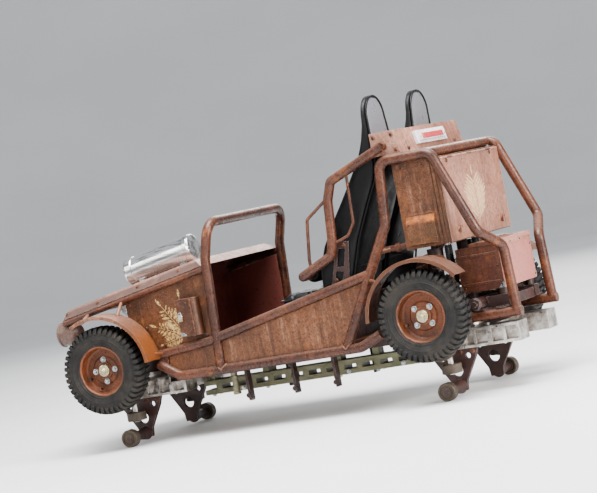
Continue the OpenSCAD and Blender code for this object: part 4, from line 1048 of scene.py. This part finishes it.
class COASTER_OT_headlamp_lenses(bpy.types.Operator):
    """Set the glass and its ring in both headlamps, and the bolt on top of each bowl"""

    bl_idname = "coaster.headlamp_lenses"
    bl_label = "Headlamp Lenses"

    def execute(self, context):
        low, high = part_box("headlamps")
        radius, height = 0.054, 0.553
        for name, side in HANDS:
            centre = Vector((low.x + 0.104, side * (high.y - radius), height))
            form = Form().finish("rusted_lamp_bowl")
            form.lathe(centre, AHEAD, [
                (radius - 0.0015, -0.006), (radius + 0.0022, -0.006), (radius + 0.0026, 0.000),
                (radius + 0.0014, 0.0045), (radius - 0.0030, 0.0060), (radius - 0.0060, 0.0050),
                (radius - 0.0065, 0.0010), (radius - 0.0015, -0.006)], 64)
            form.finish("clear_lens")
            form.lathe(centre, AHEAD, [(0, -0.004), (radius - 0.0062, -0.004), (radius - 0.0062, 0.0010),
                                       (0.036, 0.0030), (0.018, 0.0042), (0, 0.0046)], 48)
            form.finish("rusted_frame_tube")
            form.bolt(Vector((low.x + 0.030, centre.y, height + 0.0475)), (-0.6, 0, 0.8), 0.010, 0.005)
            form.piece("headlamp_lens_" + name, "car_body")
        return {"FINISHED"}


class COASTER_OT_cowl_fittings(bpy.types.Operator):
    """Fit the cowl's bolts and corner plates, and each tool box's hinge, screws and padlock"""

    bl_idname = "coaster.cowl_fittings"
    bl_label = "Cowl Fittings"

    # Side views of the cowl, as (along the car, height)
    BOLTS = ((0.556, 0.676), (0.367, 0.710), (0.470, 0.692), (0.705, 0.636), (0.340, 0.445), (0.560, 0.432),
             (0.640, 0.520))
    CORNER_PLATE = ((0.724, 0.642), (0.752, 0.636), (0.744, 0.608), (0.722, 0.588))

    def execute(self, context):
        look = context.scene.coaster_fittings
        for name, side in HANDS:
            out = Vector((0, side, 0))
            face = outer_face("cowl_side_" + name, side)
            form = Form().finish("rusted_frame_tube")
            for x, z in self.BOLTS:
                form.bolt(Vector((x, face, z)), out, look.bolt, 0.005)
            form.finish("zinc")
            form.slab([Vector((x, face, z)) for x, z in self.CORNER_PLATE], out * 0.0025)
            form.piece("cowl_bolts_" + name, "car_body", ease=0.0004)
            self.tool_box(name, side, look)
        return {"FINISHED"}

    def tool_box(self, name, side, look):
        """The knuckled hinge at the door's rear edge, and the screws and the padlock on its outer face."""
        out = Vector((0, side, 0))
        low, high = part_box("cowl_door_" + name)
        face = outer_face("cowl_box_" + name, side) + side * 0.0043
        form = Form().finish("rusted_frame_tube")
        hinge = joint_place(f"door_{name}_open")
        knuckles = 5
        step = (high.z - low.z) / knuckles
        for i in range(knuckles):
            place = Vector((hinge.x, hinge.y, low.z + step * (i + 0.5)))
            form.knuckle(place, UP, step * 0.44, step * 0.40, 0.0052, 0.0056, 24)
        for z in (low.z + 0.020, high.z - 0.020):
            form.screw(Vector((high.x - 0.012, face, z)), out, look.screw * 0.8)
            form.screw(Vector((hinge.x + 0.020, face, z)), out, look.screw * 0.8)
        form.finish("zinc")
        plate = ((0.0005, 0.004), (0.030, 0.004), (0.026, 0.012), (0.0005, 0.022))
        form.slab([Vector((high.x - back, face, low.z + up)) for back, up in plate], out * 0.0016)
        lock = Vector((high.x - 0.016, face + side * 0.0052, (low.z + high.z) / 2 + 0.008))
        form.lathe(lock, out, [(0, 0), (0.0100, 0), (0.0100, 0.0012), (0.0085, 0.0026), (0.0060, 0.0030),
                               (0, 0.0030)], 24)
        shackle = [lock + Vector((0.007 * math.cos(a), side * 0.004, 0.010 + 0.008 * math.sin(a)))
                   for a in (math.pi * k / 12 for k in range(13))]
        form.tube([shackle[0] - UP * 0.016, *shackle, shackle[-1] - UP * 0.016], 0.0019, 8)
        form.finish("brass")
        body = lock + Vector((0, side * 0.0045, -0.012))
        form.block(body - Vector((0.0115, 0.004, 0.010)), body + Vector((0.0115, 0.004, 0.008)))
        form.piece("tool_box_fittings_" + name, "door_" + name, ease=0.0008)


# Where the outer skin of the upper locker's cover stands
COVER_FACE = -0.9012


class COASTER_OT_stencils(bpy.types.Operator):
    """Stencil the worn leaf sprigs on the cowl's sides and on the upper locker's cover"""

    bl_idname = "coaster.stencils"
    bl_label = "Stencils"

    # The fan of sprigs on the cowl's side spreads forward: (lean in degrees, length, reach of the leaves)
    FAN = ((0, 0.160, 0.0506), (34, 0.165, 0.0550), (68, 0.140, 0.0484), (102, 0.105, 0.0396))

    def execute(self, context):
        for name, side in HANDS:
            form = Form().finish("pale_gold_stencil")
            foot = Vector((0.446, outer_face("cowl_side_" + name, side) + side * 0.0003, 0.462))
            out = Vector((0, side, 0))
            for degrees, length, reach in self.FAN:
                lean = math.radians(degrees)
                up = Vector((math.sin(lean), 0, math.cos(lean)))
                across = Vector((math.cos(lean), 0, -math.sin(lean)))
                self.sprig(form, foot + up * 0.012, up, across, length, 7, reach, out, 0.62, 0.15)
            form.piece("cowl_stencil_" + name, "car_body")
        form = Form().finish("faded_gold_stencil")
        foot = Vector((COVER_FACE - 0.0004, 0.0, 0.722))
        across = Vector((0, 1, 0))
        self.sprig(form, foot, UP, across, 0.215, 9, 0.150, REAR, 0.42, 0.075)
        self.sprig(form, foot + UP * 0.014, UP, across, 0.190, 8, 0.062, REAR, 0.80, 0.19)
        form.piece("locker_stencil", "upper_cover")
        return {"FINISHED"}

    def sprig(self, form, foot, up, across, length, pairs, reach, out, climb, wide):
        """A plain stem with pairs of pointed leaves, as thin as a coat of paint.

        The leaves rise by climb for each 0.78 that they spread; wide is half a leaf's width over its length.
        """
        self.form, self.out, self.wide = form, out, wide
        tip = foot + up * length
        stem = [foot - across * 0.0025, tip - across * 0.0010, tip + across * 0.0010, foot + across * 0.0025]
        form.slab(stem, self.coat())
        for i in range(pairs):
            at = foot + up * length * (0.08 + 0.84 * i / pairs)
            size = reach * (1 - 0.45 * abs(2 * (i + 0.5) / pairs - 0.8))
            for hand in SIDES:
                lead = (across * hand * 0.78 + up * climb).normalized()
                square = out.cross(lead).normalized()
                self.leaf(at + lead * 0.004, lead, square, size)
        self.leaf(tip, up, across, min(reach * 0.8, 0.045))

    def coat(self):
        """The paint's thickness, a little more for each leaf, so that no two faces lie in one plane."""
        self.leaves = getattr(self, "leaves", 0) + 1
        return self.out * (0.0003 + 0.00002 * (self.leaves % 40))

    def leaf(self, foot, lead, square, size):
        """One leaf along the direction lead, pointed at both ends."""
        steps = 8
        half = [size * self.wide * math.sin(math.pi * k / steps) ** 0.8 for k in range(steps + 1)]
        along = [foot + lead * size * k / steps for k in range(steps + 1)]
        left = [p + square * w for p, w in zip(along, half)]
        right = [p - square * w for p, w in zip(along[-2:0:-1], half[-2:0:-1])]
        self.form.slab(left + right, self.coat())


class COASTER_OT_locker_fittings(bpy.types.Operator):
    """Fit the screws, locks, hinges, cover skin and lid's lip of the lockers, and the top box's bolts"""

    bl_idname = "coaster.locker_fittings"
    bl_label = "Locker Fittings"

    def execute(self, context):
        look = context.scene.coaster_fittings
        self.upper(look)
        self.lower(look)
        self.top_box(look)
        return {"FINISHED"}

    def upper(self, look):
        """The cover's uneven skin with its bolts, locks and hinges, and the locker's screws and seams."""
        low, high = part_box("upper_locker")
        form = Form().finish("rusted_pale_sheet")
        wide = high.y - 0.0022
        foot, head = low.z + 0.004, 1.030
        rows = []
        for k in range(25):
            z = foot + (head - foot) * k / 24
            row = [Vector((COVER_FACE - 0.0006 * noise.noise(Vector((3 * y, 4 * z, 2))) - 0.0003, y, z))
                   for y in (wide * (i / 18 - 1) for i in range(37))]
            rows.append(row + [Vector((COVER_FACE + 0.0030, p.y, z)) for p in reversed(row)])
        form.loft(rows)
        form.piece("upper_cover_skin", "upper_cover", ease=0.0004)
        form = Form().finish("rusted_frame_tube")
        for y in (-0.253, 0.264):
            form.bolt(Vector((COVER_FACE - 0.0003, y, 1.012)), REAR, look.bolt, 0.005)
        hinge = joint_place("upper_cover_lift")
        for y in (-0.230, 0.0, 0.230):
            for part in (-0.02, 0.0, 0.02):
                place = Vector((hinge.x, y + part, hinge.z))
                form.knuckle(place, (0, 1, 0), 0.009, 0.0075, 0.0050, 0.0053, 20)
        for side in SIDES:
            lock = Vector((COVER_FACE - 0.0080, side * 0.258, 0.712))
            form.lathe(lock, REAR, [(0, 0), (0.0140, 0), (0.0140, 0.0010), (0.0115, 0.0018), (0, 0.0018)], 32)
            form.bolt(lock + Vector((-0.0072, 0, 0.010)), REAR, 0.006, 0.002, 1.0)
        form.piece("upper_cover_fittings", "upper_cover", ease=0.0004)
        # The locker's own screws and its folded seams
        form = Form().finish("rusted_frame_tube")
        for side in SIDES:
            out = Vector((0, side, 0))
            for x, z in ((-0.720, 1.015), (-0.820, 1.015), (-0.720, 0.830), (-0.715, 0.700), (-0.830, 0.700),
                         (-0.715, 0.770)):
                reach = high.y - 0.013 if z > 0.81 else high.y
                form.screw(Vector((x, side * (reach + 0.0002), z)), out, look.screw * 0.75)
            form.weld([Vector((-0.706 - 0.0105 * k, side * 0.3522, 0.8062)) for k in range(13)], 0.0022, 7)
        form.piece("upper_locker_fittings", "car_body")

    def lower(self, look):
        """The lid's lip, which hangs over the rear face, and the box's screws and corner plates."""
        low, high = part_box("lower_box")
        lid_low, lid_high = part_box("lower_box_lid")
        form = Form().finish("rusted_pale_sheet")
        form.block((low.x - 0.0042, lid_low.y + 0.001, lid_low.z - 0.014),
                   (low.x - 0.0022, lid_high.y - 0.001, lid_low.z + 0.002))
        form.finish("rusted_frame_tube")
        for y in (-0.17, -0.06, 0.06, 0.17):
            form.screw(Vector((low.x - 0.0044, y, lid_low.z - 0.007)), REAR, look.screw * 0.7)
        form.piece("lower_lid_fittings", "lower_lid", ease=0.0005)
        form = Form().finish("rusted_frame_tube")
        for side in SIDES:
            out = Vector((0, side, 0))
            for x in (low.x + 0.018, high.x - 0.018):
                for z in (low.z + 0.020, low.z + 0.100, high.z - 0.014):
                    form.screw(Vector((x, side * 0.2001, z)), out, look.screw * 0.8)
            form.finish("zinc")
            form.slab([Vector((low.x + ahead, side * 0.2016, low.z + up))
                       for ahead, up in ((-0.0015, 0.002), (0.030, 0.002), (-0.0015, 0.034))], out * 0.0012)
            form.finish("rusted_frame_tube")
        for y in (-0.185, 0.185):
            for z in (low.z + 0.018, high.z - 0.040):
                form.screw(Vector((low.x, y, z)), REAR, look.screw * 0.8)
        form.piece("lower_box_fittings", "car_body", ease=0.0005)

    def top_box(self, look):
        """The top box's bolts, at its ends and under its leaning rear face."""
        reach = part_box("top_box")[1].y
        form = Form().finish("rusted_frame_tube")
        for side in SIDES:
            for x, z in ((-0.630, 1.165), (-0.715, 1.165), (-0.630, 1.100), (-0.725, 1.100)):
                form.bolt(Vector((x, side * reach, z)), (0, side, 0), look.bolt * 0.9, 0.005)
        for y in (-0.27, 0.27):
            form.bolt(Vector((-0.745, y, 1.097)), (-0.96, 0, 0.28), look.bolt * 0.9, 0.005)
        form.piece("top_box_bolts", "car_body")


class COASTER_OT_tail_lamp(bpy.types.Operator):
    """Set the red lens in the white lamp on the top box"""

    bl_idname = "coaster.tail_lamp"
    bl_label = "Tail Lamp"

    def execute(self, context):
        # The top box's rear face leans 21 mm ahead over its height
        lean = math.atan2(0.021, 0.1014)
        out = Vector((-math.cos(lean), 0, math.sin(lean)))
        up = Vector((math.sin(lean), 0, math.cos(lean)))
        middle = Vector((-0.7355, 0, 1.1332)) + out * 0.0200
        wide, tall = 0.118, 0.0125
        form = Form().finish("red_lens")
        form.loft([[middle + out * rise + Vector((0, y * (wide - inset), 0)) + up * (z * (tall - inset))
                    for y, z in ((-1, -1), (1, -1), (1, 1), (-1, 1))]
                   for rise, inset in ((0.0, 0.0), (0.0030, 0.0), (0.0042, 0.0015))])
        form.finish("zinc")
        for y in (-0.138, 0.138):
            form.screw(middle + Vector((0, y, 0)) - out * 0.0002, out, 0.009)
        form.piece("tail_lamp_lens", "car_body", ease=0.0008)
        return {"FINISHED"}


# Frame, chassis and bogie fittings
class CoasterChassis(bpy.types.PropertyGroup):
    """Sizes of the fittings under the car."""

    cap_bolt: FloatProperty(
        name="Bolt", description="Width of a chassis bolt across its flats", subtype="DISTANCE",
        default=0.019)
    hose: FloatProperty(
        name="Hose", description="Outer diameter of a bellows hose", subtype="DISTANCE", default=0.022)


class COASTER_OT_frame_welds(bpy.types.Operator):
    """Lay the beads of weld at the frame's joints"""

    bl_idname = "coaster.frame_welds"
    bl_label = "Frame Welds"

    # Where the windscreen's pillar and the cage's front pillar stand on the sill, in millimetres
    FEET = ((285, 385, 286), (-335, 385, 290))
    TUBE_RADIUS = 0.0222

    def execute(self, context):
        bead = context.scene.coaster_fittings.weld
        for name, side in HANDS:
            form = Form().finish("weld_bead")
            for foot in self.FEET:
                form.weld(self.saddle(mm(*foot), side), bead, 8)
            form.piece("frame_welds_" + name, "car_body")
        return {"FINISHED"}

    def saddle(self, foot, side):
        """The line where an upright tube meets the top of a level tube as thick as itself."""
        path = []
        for k in range(33):
            a = 2 * math.pi * k / 32
            across = self.TUBE_RADIUS * math.sin(a)
            rise = math.sqrt(max(self.TUBE_RADIUS ** 2 - across ** 2, 0))
            # The bead stands out by 2% of the tube's radius
            along = self.TUBE_RADIUS * math.cos(a) * 1.02
            path.append((foot.x + along, side * (foot.y + across), foot.z + rise))
        return path


class COASTER_OT_seat_board_fittings(bpy.types.Operator):
    """Fit the bolts in the seat frame's side boards and ladder brackets"""

    bl_idname = "coaster.seat_board_fittings"
    bl_label = "Seat Board Fittings"

    # The bolts seen from the side, as (along the car, height)
    BOLTS = ((-0.030, 0.508), (-0.060, 0.400), (-0.300, 0.400), (-0.200, 0.505), (-0.345, 0.560),
             (-0.395, 0.735), (-0.330, 0.590))

    def execute(self, context):
        look = context.scene.coaster_fittings
        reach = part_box("seat_frame")[1].y
        for name, side in HANDS:
            form = Form().finish("rusted_frame_tube")
            for x, z in self.BOLTS:
                form.bolt(Vector((x, side * reach, z)), (0, side, 0), look.bolt * 0.9, 0.004)
            form.piece("seat_board_bolts_" + name, "car_body")
        return {"FINISHED"}


class COASTER_OT_chassis_fittings(bpy.types.Operator):
    """Fit the bolts along the chassis, the feet of its hangers and the short posts under the floor"""

    bl_idname = "coaster.chassis_fittings"
    bl_label = "Chassis Fittings"

    def execute(self, context):
        look = context.scene.coaster_chassis
        low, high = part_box("centre_beam")
        form = Form().finish("zinc")
        for x in (-0.30, -0.11, 0.26, 0.54):
            for side in SIDES:
                form.bolt(Vector((x, side * 0.034, low.z)), -UP, look.cap_bolt * 0.8, 0.008)
        for x in (-0.43, -0.16, 0.11, 0.38):
            for side in SIDES:
                form.bolt(Vector((x, side * high.y, low.z + 0.011)), (0, side, 0), look.cap_bolt * 0.7, 0.006)
        form.piece("beam_bolts", "car_body")
        form = Form().finish("rusted_frame_tube")
        for x in (-0.300, -0.178, 0.026, 0.260, 0.520):
            for side in SIDES:
                for way in (AHEAD, REAR):
                    form.bolt(Vector((x, side * 0.30, 0.290)) + way * 0.020, way, look.cap_bolt * 0.8, 0.007)
        form.piece("cross_member_bolts", "car_body")
        form = Form().finish("khaki_steel")
        for side in SIDES:
            form.lathe(Vector((0.260, side * 0.212, 0.1185)), UP, [
                (0, -0.004), (0.010, -0.004), (0.013, -0.001), (0.013, 0.004), (0, 0.004)], 28)
        # The short posts under the floor
        for side in SIDES:
            form.lathe(Vector((0.335, side * 0.200, 0.150)), UP, [
                (0, 0), (0.0165, 0), (0.0180, 0.0015), (0.0180, 0.0120), (0.0150, 0.0140), (0.0150, 0.0700),
                (0.0185, 0.0720), (0.0185, 0.0840), (0.0150, 0.0860), (0.0150, 0.1180), (0, 0.1180)], 32)
        form.piece("hanger_feet", "car_body")
        return {"FINISHED"}


class COASTER_OT_bogie_fittings(bpy.types.Operator):
    """Fit the bolts and grease nipples on both bogies"""

    bl_idname = "coaster.bogie_fittings"
    bl_label = "Bogie Fittings"

    def execute(self, context):
        look = context.scene.coaster_chassis
        block_top, box_face, cap_face, cap_circle = 0.282, 0.3500, -0.1325, 0.025
        for name in ENDS:
            turn = joint_place(f"{name}_bogie_turn")
            axle = joint_place(f"running_wheels_{name}_spin")
            form = Form().finish("zinc")
            for x in (turn.x - 0.135, turn.x + 0.135):
                for side in SIDES:
                    form.bolt(Vector((x, side * 0.150, block_top)), UP, look.cap_bolt, 0.010)
            for hand, side in HANDS:
                out = Vector((0, side, 0))
                hub = joint_place(f"road_wheel_{name}_{hand}_spin") + out * cap_face
                # The bearing cap's bolts behind the road wheel
                for a in (math.radians(45 + 90 * k) for k in range(4)):
                    form.bolt(hub + Vector((math.cos(a), 0, math.sin(a))) * cap_circle, out, 0.010, 0.005)
                # The bolts of the running wheel's axle box
                for x in (-0.022, 0.022):
                    for z in (-0.022, 0.020):
                        form.bolt(Vector((axle.x + x, side * box_face, axle.z + z)), out, 0.010, 0.004)
            form.finish("brass")
            for side in SIDES:
                form.lathe(Vector((turn.x + 0.06, side * 0.10, block_top)), UP, [
                    (0, 0), (0.0060, 0), (0.0060, 0.004), (0.0030, 0.005), (0.0030, 0.008), (0.0042, 0.010),
                    (0.0030, 0.012), (0, 0.0125)], 16)
            form.piece("bogie_fittings_" + name, "bogie_" + name, ease=0.0005)
        return {"FINISHED"}


class COASTER_OT_carrier_bolts(bpy.types.Operator):
    """Fit the bolts that hold the up-stop wheels' carriers"""

    bl_idname = "coaster.carrier_bolts"
    bl_label = "Carrier Bolts"

    def execute(self, context):
        look = context.scene.coaster_chassis
        face, height = 0.236, 0.186
        for name in ENDS:
            middle = joint_place(f"{name}_bogie_turn").x
            form = Form().finish("rusted_frame_tube")
            for side in SIDES:
                for x in (-0.088, -0.030, 0.030, 0.088):
                    place = Vector((middle + x, side * face, height))
                    form.bolt(place, (0, side, 0), look.cap_bolt * 0.85, 0.008)
            form.piece("carrier_bolts_" + name, "bogie_" + name)
        return {"FINISHED"}


class COASTER_OT_hose_bellows(bpy.types.Operator):
    """Fold the bellows of the hoses under the upper locker, and clamp their ends"""

    bl_idname = "coaster.hose_bellows"
    bl_label = "Hose Bellows"

    # Middles of one side's hoses seen from above
    PLACES = ((-0.795, 0.177), (-0.795, 0.152))
    FOLDS = 22

    def execute(self, context):
        radius = context.scene.coaster_chassis.hose / 2
        foot = 0.4023
        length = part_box("tail_frame")[1].z - foot
        # The clamps take the hose's ends
        start, end = 0.016, length - 0.016
        pitch = (end - start) / self.FOLDS
        bellows = [(radius - 0.001, start)]
        for k in range(self.FOLDS):
            bellows += [(radius + rise, start + pitch * (k + part)) for rise, part in (
                (0.0005, 0.10), (0.0022, 0.38), (0.0022, 0.58), (0.0005, 0.86))]
        bellows.append((radius - 0.001, end))
        band = [(radius - 0.001, -0.004), (radius + 0.0016, -0.004), (radius + 0.0016, 0.004),
                (radius - 0.001, 0.004)]
        for name, side in HANDS:
            form = Form().finish("hose_rubber")
            for x, y in self.PLACES:
                form.lathe(Vector((x, side * y, foot)), UP, bellows, 24)
            form.finish("zinc")
            for x, y in self.PLACES:
                for up in (0.008, length - 0.008):
                    centre = Vector((x, side * y, foot + up))
                    form.lathe(centre, UP, band, 24)
                    form.block(centre - Vector((radius + 0.0060, 0.003, 0.004)),
                               centre + Vector((0.0005 - radius, 0.003, 0.004)))
            form.piece("hose_bellows_" + name, "car_body")
        return {"FINISHED"}


# Stage
class CoasterStage(bpy.types.PropertyGroup):
    """The floor, the lights and the camera."""

    camera_place: FloatVectorProperty(
        name="Camera", description="Place of the camera", subtype="TRANSLATION",
        default=(-4.847, 10.037, 1.041))
    lens: FloatProperty(
        name="Lens", description="Focal length of the camera", unit="CAMERA", default=148.16, min=20)
    floor_radius: FloatProperty(
        name="Floor", description="Radius of the flat floor", subtype="DISTANCE", default=14.0, min=4)
    sky: FloatProperty(name="Sky", description="Strength of the even light all round", default=0.50, min=0)
    lamps: FloatProperty(
        name="Lamps", description="Share of the studio lights' full strength", default=1.0, min=0)


class COASTER_OT_stage(bpy.types.Operator):
    """Set up the pale floor, the soft lights and the camera"""

    bl_idname = "coaster.stage"
    bl_label = "Stage"

    # Studio lights as (name, place, aim, size in metres, watts, colour)
    LIGHTS = (
        ("top_light", (-1.0, 1.5, 6.5), (0, 0, 0.6), 4.5, 1000, (0.97, 0.97, 1.0)),
        ("side_light", (-1.0, 8.5, 3.6), (0, 0, 0.5), 3.5, 260, (1.0, 0.97, 0.93)),
        ("rear_light", (-8.0, 2.0, 3.0), (0, 0, 0.7), 4.0, 1000, (1.0, 0.98, 0.98)),
        ("front_light", (7.0, 5.5, 4.5), (0, 0, 0.5), 4.0, 260, (1.0, 0.98, 0.95)),
        ("far_light", (2.0, -8.0, 5.0), (0, 0, 0.5), 5.0, 300, (1.0, 1.0, 1.0)),
    )

    def execute(self, context):
        look = context.scene.coaster_stage
        self.floor(look.floor_radius)
        self.lights(look)
        self.camera(context, look)
        return {"FINISHED"}

    def floor(self, radius):
        """A round floor whose edge rises to a wall."""
        profile = [(radius * 0.5, 0), (radius, 0), (radius + 3, 0.25), (radius + 6, 1.2), (radius + 9, 3.2),
                   (radius + 11, 6.5), (radius + 12, 11.0)]
        form = Form().finish("studio_floor")
        across, along = Vector((1, 0, 0)), Vector((0, 1, 0))
        form.loft([[(0, 0, 0)]] + [around(UP * z, across, along, r, 96) for r, z in profile], caps=False)
        mesh = bpy.data.meshes.new("studio_floor")
        form.bm.to_mesh(mesh)
        form.bm.free()
        mesh.materials.append(FINISH["studio_floor"])
        floor = bpy.data.objects.new("studio_floor", mesh)
        bpy.context.scene.collection.objects.link(floor)

    def lights(self, look):
        """An even sky and the large soft lamps of LIGHTS."""
        world = bpy.data.worlds.new("studio_light")
        bpy.context.scene.world = world
        world.use_nodes = True
        back = world.node_tree.nodes["Background"]
        back.inputs["Color"].default_value = (0.90, 0.94, 1.0, 1)
        back.inputs["Strength"].default_value = look.sky
        bpy.context.scene.view_settings.look = "AgX - Medium High Contrast"
        for name, place, aim, size, power, colour in self.LIGHTS:
            lamp = bpy.data.lights.new(name, "AREA")
            lamp.size, lamp.energy, lamp.color = size, power * look.lamps, colour
            made = bpy.data.objects.new(name, lamp)
            made.location = place
            made.rotation_euler = (Vector(aim) - Vector(place)).to_track_quat("-Z", "Y").to_euler()
            bpy.context.scene.collection.objects.link(made)

    def camera(self, context, look):
        """A camera at the photograph's viewing angle, whose right and back directions are given."""
        right = Vector((-0.8866, -0.4220, -0.1892)).normalized()
        back = Vector((-0.4341, 0.9005, 0.0258))
        back = (back - right * back.dot(right)).normalized()
        up = back.cross(right)
        data = bpy.data.cameras.new("camera")
        data.lens, data.sensor_width, data.sensor_fit = look.lens, 36.0, "HORIZONTAL"
        data.clip_end = 200
        made = bpy.data.objects.new("camera", data)
        turn = Matrix((right, up, back)).transposed().to_4x4()
        made.matrix_world = Matrix.Translation(look.camera_place) @ turn
        context.scene.collection.objects.link(made)
        context.scene.camera = made


# Add-on
STEPS = (
    "finish_frame", "road_tyres", "wheel_fittings", "seats", "cushions", "bonnet_fittings",
    "headlamp_lenses", "cowl_fittings", "stencils", "locker_fittings", "tail_lamp", "frame_welds",
    "seat_board_fittings", "chassis_fittings", "bogie_fittings", "carrier_bolts", "hose_bellows", "stage",
)
LOOKS = {
    "coaster_finish": CoasterFinish, "coaster_wheels": CoasterWheels, "coaster_seats": CoasterSeats,
    "coaster_fittings": CoasterFittings, "coaster_chassis": CoasterChassis, "coaster_stage": CoasterStage,
}
CLASSES = (
    *LOOKS.values(), COASTER_OT_finish_frame, COASTER_OT_road_tyres, COASTER_OT_wheel_fittings,
    COASTER_OT_seats, COASTER_OT_cushions, COASTER_OT_bonnet_fittings, COASTER_OT_headlamp_lenses,
    COASTER_OT_cowl_fittings, COASTER_OT_stencils, COASTER_OT_locker_fittings, COASTER_OT_tail_lamp,
    COASTER_OT_frame_welds, COASTER_OT_seat_board_fittings, COASTER_OT_chassis_fittings,
    COASTER_OT_bogie_fittings, COASTER_OT_carrier_bolts, COASTER_OT_hose_bellows, COASTER_OT_stage,
)


class COASTER_PT_panel(bpy.types.Panel):
    """Lists the steps that dress the car, with their settings"""

    bl_label = "Coaster Car"
    bl_idname = "COASTER_PT_panel"
    bl_space_type = "VIEW_3D"
    bl_region_type = "UI"
    bl_category = "Coaster Car"

    def draw(self, context):
        for step in STEPS:
            self.layout.operator("coaster." + step)
        for name in LOOKS:
            look = getattr(context.scene, name)
            for key in look.bl_rna.properties.keys():
                if key not in ("rna_type", "name"):
                    self.layout.prop(look, key)


def register():
    for cls in (*CLASSES, COASTER_PT_panel):
        bpy.utils.register_class(cls)
    for name, cls in LOOKS.items():
        setattr(bpy.types.Scene, name, PointerProperty(type=cls))


def unregister():
    for name in LOOKS:
        delattr(bpy.types.Scene, name)
    for cls in reversed((*CLASSES, COASTER_PT_panel)):
        bpy.utils.unregister_class(cls)


def main():
    register()
    for step in STEPS:
        getattr(bpy.ops.coaster, step)()


if __name__ == "__main__":
    main()
